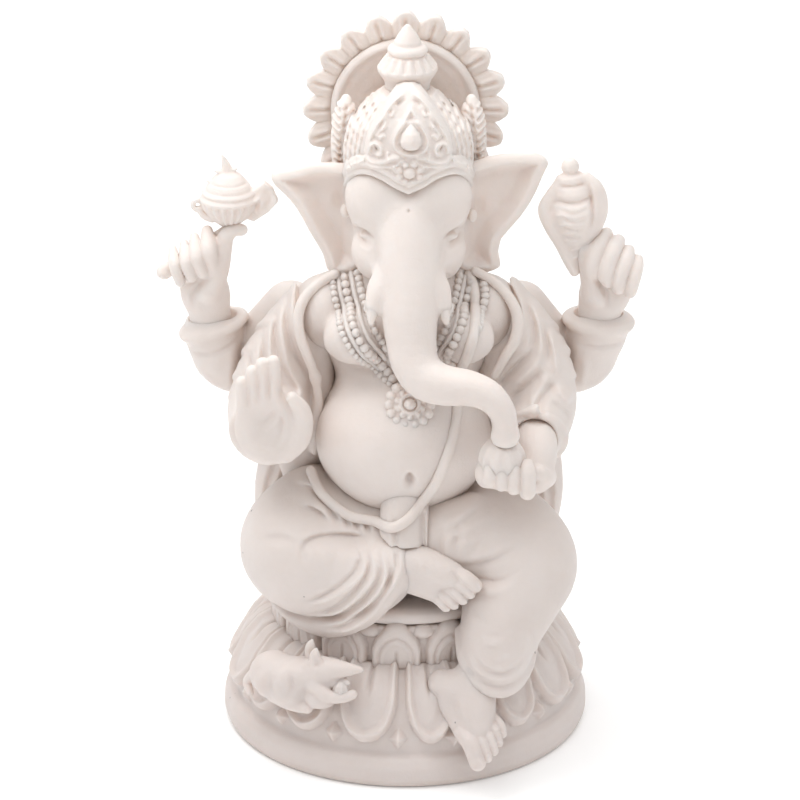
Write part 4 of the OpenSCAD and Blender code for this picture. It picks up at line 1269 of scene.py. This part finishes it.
for k in range(8):
    t = math.radians(45 * k + 22)
    tiara.add(ball((rose[0] + 2.2 * math.cos(t), rose[1] + 0.25, rose[2] + 1.9 * math.sin(t)),
                   (0.72, 0.6, 0.62)), 0.12)
cast(tiara, "crown_tiara", "tiara", relax=1)

jewel = Clay((-3, -15.6, 127), (5.4, -7, 139), 0.2)
jewel.add(turned("0 -2.2, 1.2 -2, 2 -1.2, 2.2 -0.2, 1.85 1.1, 1 2.3, 0 3.3", (1.1, -11.9, 132.8),
                 (-14, 0, 0)))
jewel.roughen(head_wave, 0.03, 3)
cast(jewel, "crown_jewel")

plumes = Clay((-18, -1, 118.5), (19.6, 9, 138.5), 0.22)
for side, mid in ((-1, 0.3), (1, 1)):
    path = mirrored(side, "13.6 3 120.6 1.1, 13.7 3 124 1.5, 13.4 3 128 1.9, 12.8 3 131.6 2.1, "
                          "12.4 3 134.2 1.7, "
                    "12.4 3.2 136.2 0.8", mid)
    plumes.add(tube(path + (0, 0, 0, 0.25), None, ((0, 1, 0), 0.75)))
    for k in range(9):
        z0 = 121.2 + 1.62 * k
        wide = 1.2 + 0.12 * k
        plumes.carve(ANY_DEPTH, 0.05, [
            (mirrored(side, [[13.4 + wide, z0 + 1.4], [13.5, z0]], mid), 0.34, -0.45),
            (mirrored(side, [[12.9 - wide, z0 + 1.8], [13, z0 + 0.4]], mid), 0.34, -0.4),
            (mirrored(side, [[13.6 + wide, z0 + 2.2], [13.6, z0 + 0.9]], mid), 0.36, 0.35),
        ])
    plumes.stroke(path[:, [0, 2]], 0.32, -0.5, reach=(-4, 3.4), fade=0.1)
cast(plumes, "crown_plumes", relax=1)

FIN = (0.4, 4, 138)
finial = Clay((-7.2, -3.4, 136.6), (8, 11.6, 152.6), 0.22)
finial.add(turned("0 0, 4.6 0, 4.6 1.6, 5 2.6, 5.7 3.6, 6.15 4.4, 6.05 5, 5.5 5.8, 4.7 6.7, 3.9 7.5, 3.5 7.9, "
                  ""
                  "0 8", FIN))


def finial_links(start, steps):
    """Slanting links up the pot's shoulder, each between two steps of (radius, height, thickness)."""
    return [[link(*((FIN[0] + r * c, FIN[1] + r * s, FIN[2] + h, thick) for r, h, thick in steps))]
            for c, s in directions(15, start)]


for rib, groove in zip(finial_links(0.5, ((5.7, 4.9, 0.55), (4.1, 7.1, 0.5))),
                       finial_links(1, ((5.8, 5.5, 0.4), (4.5, 7.1, 0.34)))):
    finial.add(rib, 0.12)
    finial.cut(groove, 0.2)
finial.add(turned("0 7.6, 3.6 7.8, 4.1 8.2, 4.1 8.9, 3.7 9.4, 3.1 9.7, 0 9.9", FIN), 0.15)
finial.add(turned("0 9.4, 2.9 9.6, 2.7 10.5, 1.9 11.9, 1 13.2, 0.5 13.8, 0 14", FIN), 0.2)
cast(finial, "crown_finial", "finial", relax=1)


# ---------- halo ----------

halo_low, halo_high = box("halo_petals")
HALO = ((halo_low[0] + halo_high[0]) / 2, 131)
HALO_PETALS = 20
halo = Clay((-16, halo_low[1] - 1.2, 115), (16, halo_high[1] + 0.6, 147.2), 0.28)


def halo_dist(x, y, z):
    r = np.sqrt((x - HALO[0]) ** 2 + (z - HALO[1]) ** 2)
    rim = 0.9 * bump(r, 14.3, 0.9)
    face = halo_low[1] + 0.2 - rim - 0.35 * ramp(r, 10.4, 12.2) + 0.4 * (1 - ramp(r, 3, 11))
    return np.maximum(np.maximum(face - y, y - halo_high[1]), r - 15.4)


halo.add([(np.array([-15.6, halo_low[1] - 1, 115.4]), np.array([15.6, halo_high[1], 146.6]), halo_dist)])
cast(halo, "halo_disc")

rays = Clay((-22, halo_low[1] - 1.2, 109.4), (22, halo_high[1] + 0.8, 152.4), 0.28)


def ray_dist(x, y, z):
    u, v = x - HALO[0], z - HALO[1]
    r = np.sqrt(u * u + v * v)
    step = TURN / HALO_PETALS
    angle = np.arctan2(u, v)
    off = np.abs((angle + step / 2) % step - step / 2) / (step / 2)
    reach = 21.45 - 2.9 * off**1.5 - 0.3 * bump(off, 0, 0.16) + 0.15 * np.sin(5 * angle + 1)
    groove = 1 * np.exp(-((off / 0.15) ** 2)) * (1 - ramp(r, 18.6, 20.6)) * ramp(r, 14.8, 15.8)
    swell = 1.5 * np.sqrt(np.clip(1 - off**2, 0, 1)) * ramp(r, 14.6, 17)
    pleat = 0.35 * bump(off, 0.55, 0.14) * ramp(r, 15.4, 17) * (1 - ramp(r, 18.4, 20.4))
    face = halo_low[1] + 0.9 - swell + groove + pleat
    edge = (r - reach) * 0.85
    return np.maximum(np.maximum(face - y, y - halo_high[1] + 0.3 * off), np.maximum(edge, 15 - r))


rays.add([(np.array([-21.6, halo_low[1] - 1, 109.8]), np.array([21.6, halo_high[1] + 0.4, 152.2]), ray_dist)])
cast(rays, "halo_petals")


# ---------- hands and what they hold ----------

palm_wave = cell_waves(6, 31)

open_hand = Clay((-38, -27, 62), (-17, -12, 92), 0.26)
open_hand.add(ball((-27.3, -21.2, 74.2), (7.6, 2.9, 8.2)))
open_hand.add(tube("-28.4 -12 70.4 5, -28.1 -17 71.4 5.2, -28 -20 73 4.6"), 2)
for finger in ("-26.5 -21.6 80, -26.7 -22.7 89.2", "-28.8 -21.7 79.8, -28.9 -22.9 88.8",
               "-31 -21.6 79.2, -31 -22.7 87", "-33 -21.3 77.6, -33.1 -22.2 84.4"):
    root, tip = rows(finger)
    half_way = [(root[0] + tip[0]) / 2, -21.8, (root[2] + tip[2]) / 2]
    open_hand.add(tube([[*root, 1.5], [*half_way, 1.5], [*tip, 1.35]], 8), 0.55)
open_hand.cut(ball((-28.4, -26.6, 76.4), (5, 3.9, 6.6)), 1.4)
open_hand.add(tube("-24.4 -21.8 68.6 2, -21.9 -22.4 71.8 2.3, -20.9 -22.7 75.6 2.1, -21.2 -23.3 79 1.75, "
                   "-23 -24 81.8 1.3"), 1)
open_hand.carve((-28, -18), 0.3, [
    ("-27.8 88, -27.8 84.6, -27.8 80.6", 0.45, -0.25),
    ("-30 86.6, -30 83.6, -30 80", 0.45, -0.25),
    ("-32.1 84.2, -32.1 81.6, -32 78.6", 0.45, -0.25),
    ("-29.4 73.6, -27.2 75, -25.4 77.4", 0.6, 0.35),
    ("-30.2 75.2, -27.8 76.6, -26 79", 0.5, -0.35),
    ("-25.2 78.6, -25.2 74.6, -26.6 70.6", 0.55, -0.4),
])
open_hand.roughen(palm_wave, 0.06)
cast(open_hand, "right_front_hand")

cup_hand = Clay((12, -36, 58), (33, -16, 74), 0.26)
cup_hand.add(ball((21.4, -27.6, 66.2), (6.6, 4.2, 3)))
cup_hand.add(tube("26.6 -17 70.4 4.3, 26.9 -21 69.8 4.1, 26.8 -24.6 68 3.8, 25.4 -27 66 3.6"), 1.6)
cup_hand.add(ball((16.2, -28.4, 67), (2.1, 3.4, 2.8)), 1)
for x, r in ((17, 1.32), (19.4, 1.36), (21.9, 1.4), (24.7, 1.6)):
    low_z = 66 - 0.3 * (x - 17)
    cup_hand.add(tube([[x, -28, low_z, r], [x, -31, low_z + 0.4, r], [x, -32.5, low_z + 1.4, r],
                       [x, -32.3, 68.8, r * 0.95],
                       [x - 0.1, -31.3, 70, r * 0.85]], 14), 0.2)
cup_hand.add(tube("28.4 -25.6 65 2.4, 28 -28.6 66.4 2, 27 -30.4 68 1.7"), 0.8)
cup_hand.add(ball((27, -27.2, 65.6), (2.6, 2.6, 3.4)), 0.8)
cup_hand.roughen(palm_wave, 0.05)
cast(cup_hand, "left_front_hand")

modak = Clay((13.5, -35.5, 65), (26, -22.8, 76.8), 0.24)
modak.add(turned("0 -3.8, 2.7 -3.6, 4.3 -2.2, 4.7 -0.4, 4.4 1.4, 3.7 2.8, 2.6 3.8, 1.5 4.4, 0 4.6",
                 (19.6, -28.8, 70.6), None, 10, 0.16))
modak.roughen(palm_wave, 0.16, 1.6)
cast(modak, "modak")

axe_hand = Clay((-51, -6, 82), (-30, 11, 112), 0.26)
axe_hand.add(tube("-40.4 6.2 83 4.2, -40.7 5.6 88 4.4, -41 4.8 92 4.6"))
axe_hand.add(ball((-41.8, 3.6, 95), (5, 3.4, 6.2)), 2)
axe_hand.add(ball((-42.8, 3.2, 99.6), (4.6, 2.8, 3.4), (0, -30, 0)), 1.5)
for top, mid, low, r in [((-48, 2.6, 103.8), (-47.4, -1.4, 101.2), (-46.4, -0.6, 97.8), 1.2),
                         ((-45.6, 2.4, 105), (-45, -1.8, 102.2), (-44, -0.6, 98.8), 1.3),
                         ((-43.5, 2.2, 106.6), (-42.8, -2, 103.4), (-41.7, -0.6, 99.8), 1.35),
                         ((-40.8, 2, 108), (-40.3, -1.8, 104.8), (-39.5, -0.2, 101), 1.6)]:
    axe_hand.add(tube([[*top, r * 0.75], [(top[0] + mid[0]) / 2, 0.2, (top[2] + mid[2]) / 2 + 0.3, r],
                       [*mid, r],
                       [*low, r * 0.95]], 12), 0.25)
axe_hand.add(tube("-40.6 1.4 95.6 3, -38.6 1 100.2 2.3, -37.5 0.6 104.6 1.8, -36.8 0.2 107.6 1.6, "
                  "-35.2 0.2 109 1.4, -33.6 0.6 108.8 1.2"), 0.9)
axe_hand.stroke("-43.8 90.6, -43.9 94.6, -41.8 97.6, -39.8 99.6", 0.6, -0.7, reach=(-6, 4))
axe_hand.stroke("-46.6 95.8, -44.4 97, -41.6 98.4", 0.5, -0.4, reach=(-6, 5))
axe_hand.roughen(palm_wave, 0.06)
cast(axe_hand, "right_rear_hand")

handle = Clay((-52.5, 0, 96), (-33, 6, 112), 0.24)
handle.add([link((-49.8, 2.4, 98.9, 1.3), (-36, 2.6, 108.4, 1.25))])
handle.add([link((-49.9, 2.4, 98.8, 1.6), (-49.2, 2.4, 99.3, 1.6))], 0.2)
cast(handle, "axe_handle")

axe = Clay((-45.5, -5, 107.6), (-25, 10, 126), 0.22)
AXE = (-36.3, 2.5)
axe.add(turned("0 0, 1.7 0.2, 3.6 1.8, 5.2 4.2, 5.7 6, 0 6.2", (*AXE, 109), None, 18, 0.34))
axe.add(turned("0 5.4, 5.8 5.6, 6 6.2, 5.5 6.7, 5.3 7, 5.5 7.4, 5.1 7.9, 4.7 8.1, 4.6 8.6, 4.1 9.4, 3.7 9.6, "
               "3.5 10.1, 2.5 11.2, 1.5 11.8, 0 12.2", (*AXE, 109)), 0.1)
axe.add(tube("-36.4 2.5 119.6 1.6, -36.6 2.5 121.6 1.05, -37 2.4 123.2 0.6, -37.5 2.3 124.4 0.25"), 0.3)
for a, b, r in [((-36.6, 2.3, 120.6), (-39.2, 2, 121.2), 0.8),
                ((-37.6, 2.2, 118.6), (-40.6, 1.9, 118.9), 0.9),
                ((-38.6, 2, 116.8), (-41.6, 1.8, 116.9), 0.8),
                ((-36.2, 2.4, 120.8), (-34.4, 2.2, 121.6), 0.7)]:
    axe.add([link((*a, r), (*b, 0.22))], 0.25)
ring_at = (-42.6, 2.4, 113.6)
axe.add(tube([[ring_at[0] + 1.05 * math.cos(t), 2.4, ring_at[2] + 1.05 * math.sin(t), 0.55]
              for t in np.linspace(0, TURN, 13)], 20), 0.2)
axe.limbs([
    ("-42.2 2.4 114.4 0.5, -41.2 2.4 116 0.3", 0.2),
    ("-42.4 2.4 112.8 0.6, -41.4 2.2 111.4 0.8, -39.8 2 110.8 0.9", 0.4),
])
blade = rows("-33.2 116.2, -31.4 116.8, -29 118.7, -27.2 117.3, -26.1 114.5, -28.1 112.3, -31.2 110.2, "
             "-33.4 111.2")
axe.add(plate(blade, 1.4, 3.6), 0.5)
axe.carve(ANY_DEPTH, 0.2, [
    ("-31 116.2, -29.4 114.4, -30.6 112", 0.7, 0.5),
    ("-28.8 117.6, -27.6 115, -29 112.8", 0.7, -0.35),
])
cast(axe, "axe_head", relax=1)

shell_hand = Clay((29, -8, 82), (51, 12, 112), 0.26)
shell_hand.add(tube("40.2 6.2 84 4.4, 40.4 5.6 88.4 4.5, 40.8 4.8 92 4.8"))
shell_hand.add(ball((41.8, 3.4, 95.6), (5.4, 3.3, 6.2)), 2)
shell_hand.add(ball((43.4, 3, 100.4), (5, 3.2, 4.4), (0, 28, 0)), 1.5)
for points, r in (("41.4 3 107, 39.8 -0.6 106, 38.5 -2.2 103.2, 38.6 -2.2 100.4, 39.4 -0.6 99.2", 1.65),
                  ("43.9 2.6 105.6, 42.6 -1 104.8, 41.3 -2.9 102, 41 -2.9 99.2, 41.8 -1.2 98", 1.7),
                  ("46 2.2 103.6, 45.2 -1.2 102.8, 44 -3 100.2, 43.6 -2.9 97.8, 44.2 -1.2 96.8", 1.6),
                  ("47.9 1.6 101.8, 47.5 -1.2 101, 46.7 -2.8 98.6, 46.2 -2.7 96.6, 46.3 -1 95.8", 1.45)):
    shell_hand.add(tube([[*p, r * (0.85 if k in (0, 4) else 1)] for k, p in enumerate(rows(points))], 16),
                   0.15)
shell_hand.add(tube("39.4 1.4 94.6 3, 38.4 0.4 98.6 2.4, 37.3 0 102.4 1.9, 36.5 -0.4 105.6 1.5"), 1)
shell_hand.carve((-8, 4), 0.35, [
    ("37.6 100.4, 39.9 97.6, 41.4 94.8, 41.9 91.6", 0.6, -0.75),
    ("37.8 100.6, 40.4 98.2, 43.6 96.2", 0.5, -0.45),
])
shell_hand.roughen(palm_wave, 0.06)
cast(shell_hand, "left_rear_hand")

conch = Clay((26, -6, 97), (44, 10.5, 125.5), 0.24)
conch.add(turned("0 12, 1.1 11.7, 1.75 10.8, 1.9 9.8, 1.5 9, 1.7 8.7, 2.6 8.2, 2.9 7.3, 2.5 6.7, 3.4 6.2, "
                 "4.1 5, 4.2 4.2, 3.9 3.8, 4.9 3, 5.6 1.2, 5.7 -0.6, 5 -3.4, 3.9 -6.4, 2.8 -9.2, 2 -11.8, "
                 "0 -12.4", (34.9, 2.2, 112), (0, -7, 0)))
conch.limbs([
    ("31.6 1.6 119.2 0.8, 29.6 0.8 116.2 1.1, 28.4 0.4 113.2 1.3, 29.8 0 109.4 1.25, 31.8 -0.2 106 1.2, "
     "33.6 -0.2 102.4 1.2, 34.8 0 99.8 1", 1.4),
    ("37 1.2 120.2 1, 38.8 0.8 117.6 1.8, 39.4 0.8 114 2.2, 38.8 0.8 110.8 2.1, 37.4 0.8 108 1.4", 1),
])
conch.stroke("37.4 119.6, 38 116.2, 38.1 112.4, 37.2 109", 0.45, -0.7, reach=(-6, 4), fade=0.3)
for k, z0 in enumerate((115.6, 113.9, 112.2, 110.4, 108.4)):
    conch.stroke([[30.6 + 0.3 * k, z0 + 0.6], [34 + 0.2 * k, z0 - 0.4], [38 - 0.4 * k, z0 + 0.6]], 0.4, -0.28,
                 reach=(-6, 4), fade=0.25)
for k in range(6):
    conch.stroke([[30.4 + 0.75 * k, 112.4 - 1.9 * k], [31.8 + 0.7 * k, 113.2 - 1.9 * k],
                  [33.6 + 0.6 * k, 113 - 1.9 * k]], 0.35,
                 0.3, reach=(-6, 2), fade=0.3)
cast(conch, "conch", relax=1)


# ---------- strings of beads, pendant and sacred thread ----------


def bead_mesh(name, beads, around=12, rings=7):
    """Closed little balls from [x, y, z, radius] rows."""
    rng = np.random.RandomState(17)
    unit = [(0, 0, 1)]
    for i in range(1, rings):
        p = math.pi * i / rings
        unit += [(c * math.sin(p), s * math.sin(p), math.cos(p)) for c, s in directions(around)]
    unit = np.array(unit + [(0, 0, -1)])
    faces = []
    for j in range(around):
        k = (j + 1) % around
        faces.append([0, 1 + j, 1 + k])
        for i in range(rings - 2):
            a, b = 1 + i * around, 1 + (i + 1) * around
            faces += [[a + j, b + j, b + k], [a + j, b + k, a + k]]
        last = 1 + (rings - 2) * around
        faces.append([len(unit) - 1, last + k, last + j])
    faces = np.array(faces)
    co = [unit * (r * (1 + 0.1 * rng.uniform(-1, 1, 3))) + [x, y, z] for x, y, z, r in beads]
    return new_mesh(name, np.vstack(co), np.vstack([faces + i * len(unit) for i in range(len(co))]))


def on_chest(path, spacing, lift):
    """Places [x, y, z] along a front-view path, laid on the torso and lifted a little forward."""
    laid = torso.face(curve(path, 60))
    laid = laid[np.linspace(0, len(laid) - 1, 40).astype(int)]
    run = run_of(laid)
    at = np.linspace(0, run[-1], max(3, int(round(run[-1] / spacing)) + 1))
    return np.stack([np.interp(at, run, column) for column in laid.T], axis=1) - [0, lift, 0]


bead_rows = [
    ("-12.8 100.4, -11.8 96.4, -9.8 92, -7.2 87.6, -4.8 84.6, -2.6 82.2", 0.98, 1.75),
    ("-9.8 100.6, -8.6 97, -6.8 93.2, -5.2 90.6, -4 88.6", 0.85, 1.55),
    ("11.2 100.4, 10.3 97.4, 8.9 94, 7.2 90.8, 6.2 88.6", 0.85, 1.55),
    ("13.6 98.6, 12.2 95.4, 10.6 92, 9 88.6, 8.4 86.2, 9.4 84.8", 0.98, 1.75),
    ("15.6 100.2, 16.4 97.4, 15.6 94.4, 14.2 92.2", 0.85, 1.6),
    ("-15.2 100, -14.6 97, -13.4 93.4, -11 89, -8 85.2, -5 82.4, -2.2 80.6", 0.72, 1.35),
]
beads = []
for path, r, spacing in bead_rows:
    beads += [[*p, r] for p in on_chest(path, spacing, 0.45 * r)]
marble_piece(bead_mesh("marble_beads", beads), "necklaces")

cords = Clay((-18, -30, 78), (19, 3, 102), 0.24)
for path in ("-14 100.6, -13.2 96.6, -11.4 92.4, -8.8 88, -6 84.2, -3.4 81.6",
             "-11.3 100.8, -10.2 96.6, -8.2 92.4, -6 88.8, -4.2 86.2",
             "12.2 99.6, 11.3 96.4, 9.8 92.6, 7.8 89.2, 6.8 87"):
    cords.add(chain([[*p, 0.55] for p in on_chest(path, 1.6, 0.2)]))
cast(cords, "necklaces", "necklace_cords", relax=1)

thread = Clay((-22, -32, 49), (17, 4, 102), 0.28)
thread_line = rows("12.6 100.6, 14.2 97.6, 14.2 93.6, 13 89.4, 11.8 85, 10.9 80, 10.4 75, 9.5 71.4")
laid = on_chest(thread_line, 1.3, 0.35)
hung = [laid[-1]]
for x, z in rows("8.2 68, 6 63, 3.2 58.6, 0.4 56.2, -2.9 54.6, -6.6 53.8, -11.2 54, -15 55.6, -17.8 57.6"):
    met = [hit[0][1] for hit in (c.face([[x, z]]) for c in (torso, sash, right_leg, left_leg)) if len(hit)]
    hung.append([x, min(met) - 0.55, z])
hung = curve([*hung, [-19.6, -11.4, 60]], 60)
thread.add(chain([[*p, 1.12] for p in [*laid, *hung[1:]]]))
cast(thread, "sacred_thread")

PEND = torso.face([[0.9, 78.4]])[0] + [0, -0.3, 0]
pendant = Clay((-7, PEND[1] - 4, 70.6), (9, PEND[1] + 5, 86), 0.22)
face_on = (62, 0, 0)
pendant.add(turned("0 -1.6, 4.6 -1.6, 4.9 -0.4, 4 0.5, 2.6 0.7, 0 0.8", PEND, face_on))
lean = turning(face_on)
for c, s in directions(14):
    pendant.add(ball(PEND + lean @ (4.3 * c, 4.3 * s, 0.3), (1, 0.95, 1)), 0.2)
for c, s in directions(10, 0.5):
    pendant.add(ball(PEND + lean @ (2.7 * c, 2.7 * s, 0.75), 0.6), 0.12)
pendant.add(tube([[*(PEND + lean @ (1.9 * c, 1.9 * s, 0.95)), 0.42] for c, s in [*directions(14), (1, 0)]],
                 24), 0.15)
pendant.add(ball(PEND + lean @ (0, 0, 1.1), (1.25, 1.1, 1.1)), 0.1)
cast(pendant, "pendant", relax=1)


# ---------- mouse ----------

mouse = Clay((-35, -38, 13.6), (-7, -19, 31), 0.24)
mouse.add(ball((-27.2, -26.2, 20.6), (5.2, 4.4, 4.9)))
mouse.add(ball((-22.4, -29.2, 21.2), (5.8, 4, 4.3), (0, 0, 30)), 2)
mouse.add(ball((-18.4, -31, 22.4), (3.8, 3.4, 3.7)), 1.8)
mouse.add(tube("-17.2 -31.8 24.2 2.9, -14.6 -32.8 24.7 2.3, -11.8 -33.7 25.2 1.4, -9.2 -34.4 25.5 0.65"), 1.4)
mouse.add(ball((-27.4, -28.6, 19.8), (4, 2.6, 3.6), (0, 20, 20)), 0.7)
for at in rows("-18.4 -32.8 26.2, -19.4 -29.6 26.6"):
    ear_flap = [[*at, 1.5], [*(at + (-0.2, 0, 1.8)), 1.1], [*(at + (0.1, 0, 3.2)), 0.4]]
    mouse.add(tube(ear_flap, 8, ((0.3, 1, 0), 1.6)), 0.4)
    mouse.cut(ball(at + (0.2, -1.1, 0.9), (0.7, 0.5, 1.3)), 0.3)
mouse.add(ball((-22.6, -29.4, 17.6), (5.4, 4, 3.2), (0, 10, 30)), 1.6)
mouse.add(ball((-17.2, -32.6, 18.6), (3.6, 3, 2.6), (0, -8, 20)), 1.2)
mouse.add(ball((-14.6, -34.6, 25.4), (0.55, 0.4, 0.5)), 0.1)
mouse.limbs([
    ("-18.6 -33.4 21.4 1.8, -15.8 -35.2 19.8 1.4, -12.8 -35.7 19.9 1.2, -10.8 -35.4 20.4 1", 0.5),
    ("-17.4 -32.6 22 1.5, -14.2 -33.8 22.2 1.1, -12.2 -34.6 22.6 0.9", 0.5),
    ("-27 -29.4 17.4 1.9, -23.6 -32 16.4 1.4, -20.2 -33.6 16.2 1.1", 0.5),
    ("-31.4 -23 19 1.3, -33 -22 16.6 1, -32.4 -23.6 14.8 0.8", 0.5),
])
for k in range(3):
    mouse.stroke([[-15.6, 23.6 - 0.5 * k], [-13, 23.6 - 0.7 * k], [-11, 23.9 - 0.8 * k]], 0.25, -0.18,
                 reach=(-38, -30))
mouse.roughen(cell_waves(1.1, 44), 0.05)
mouse.stroke("-24.4 24.4, -23.2 21.6, -24.2 18.6", 0.6, -0.5, reach=(-38, -24))
cast(mouse, "mouse")

sweet = Clay((-15.6, -37, 19), (-10.8, -32, 24), 0.16)
sweet.add(turned("0 -1.6, 1.2 -1.3, 1.8 -0.2, 1.4 1, 0.6 1.8, 0 2", (-13.2, -34.6, 21.2), None, 8, 0.12))
cast(sweet, "mouse_sweet", relax=1)


# ---------- inner parts that stay as designed ----------

for node, mat in [("felt_pad", FELT), ("base_plug", MARBLE), ("seat_pin", STEEL), ("neck_pin", STEEL),
                  ("halo_pin", STEEL), ("right_wrist_pin", STEEL), ("left_wrist_pin", STEEL)]:
    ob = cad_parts[node]
    ob.data.materials.clear()
    ob.data.materials.append(mat)


# ---------- floor, light and camera ----------


def floor_material():
    mat, tree, skin = node_material("pale_floor")
    mottle = texture(tree, "Noise", 0.02, Detail=3.0)
    tone = ramped(tree, mottle, "Fac", (0.3, 0.93), (0.7, 0.95))
    link_up(tree, tone, "Color", skin, "Base Color")
    link_up(tree, tone, "Color", skin, "Emission Color")
    set_inputs(skin, Emission_Strength=0.12, Roughness=0.9, Specular_IOR_Level=0.1)
    return mat


def make_floor(radii=(60, 120, 250, 600, 1500, 4000), sides=48):
    co = [[0, 0, 0]] + [[r * c, r * s, 0] for r in radii for c, s in directions(sides)]
    faces = []
    for k in range(sides):
        n = (k + 1) % sides
        faces.append([0, 1 + k, 1 + n])
        for ring in range(len(radii) - 1):
            a, b = 1 + ring * sides, 1 + (ring + 1) * sides
            faces += [[a + k, b + k, b + n], [a + k, b + n, a + n]]
    ob = new_mesh("floor", np.array(co, float), faces)
    ob.data.materials.append(floor_material())
    ob.location.z = CAD_BOX[0][2]
    return ob


make_floor()

scene = bpy.context.scene
world = bpy.data.worlds.new("studio")
scene.world = world
world.use_nodes = True
sky = world.node_tree.nodes["Background"]
sky.inputs["Color"].default_value = (1, 1, 1, 1)
way = world.node_tree.nodes.new("ShaderNodeTexCoord")
parts = fed(world.node_tree, "ShaderNodeSeparateXYZ", way, "Generated", "Vector")
rise = fed(world.node_tree, "ShaderNodeMapRange", parts, "Z", "Value", From_Min=0.12, From_Max=1,
           To_Min=0.02, To_Max=1.8)
link_up(world.node_tree, rise, "Result", sky, "Strength")
scene.view_settings.view_transform = "Standard"


LIGHT_AIM = (0, 0, 80)
CAMERA_AIM = (-1.13, 0, 71.1)
CAMERA_DISTANCE = 900
CAMERA_TILT = math.radians(23)
LENS = 194.1
FILM_WIDTH = 36


def area_light(name, at, size, power):
    data = bpy.data.lights.new(name, "AREA")
    data.shape = "DISK"
    data.size = size * UNIT
    data.energy = power * UNIT * UNIT
    ob = bpy.data.objects.new(name, data)
    scene.collection.objects.link(ob)
    ob.location = [v * UNIT for v in at]
    way = np.array(LIGHT_AIM, float) - np.array(at, float)
    ob.rotation_euler = (math.atan2(math.hypot(way[0], way[1]), -way[2]), 0, math.atan2(-way[0], way[1]))


area_light("key", (-130, -10, 310), 180, 2.3e5)
area_light("fill", (300, -200, 300), 260, 0.1e5)

camera_data = bpy.data.cameras.new("camera")
camera_data.sensor_width = FILM_WIDTH
camera_data.lens = LENS
camera_data.clip_start = 0.01
camera = bpy.data.objects.new("camera", camera_data)
scene.collection.objects.link(camera)
camera.location = [
    CAMERA_AIM[0] * UNIT,
    (CAMERA_AIM[1] - CAMERA_DISTANCE * math.cos(CAMERA_TILT)) * UNIT,
    (CAMERA_AIM[2] + CAMERA_DISTANCE * math.sin(CAMERA_TILT)) * UNIT,
]
camera.rotation_euler = (math.pi / 2 - CAMERA_TILT, 0, 0)
scene.camera = camera
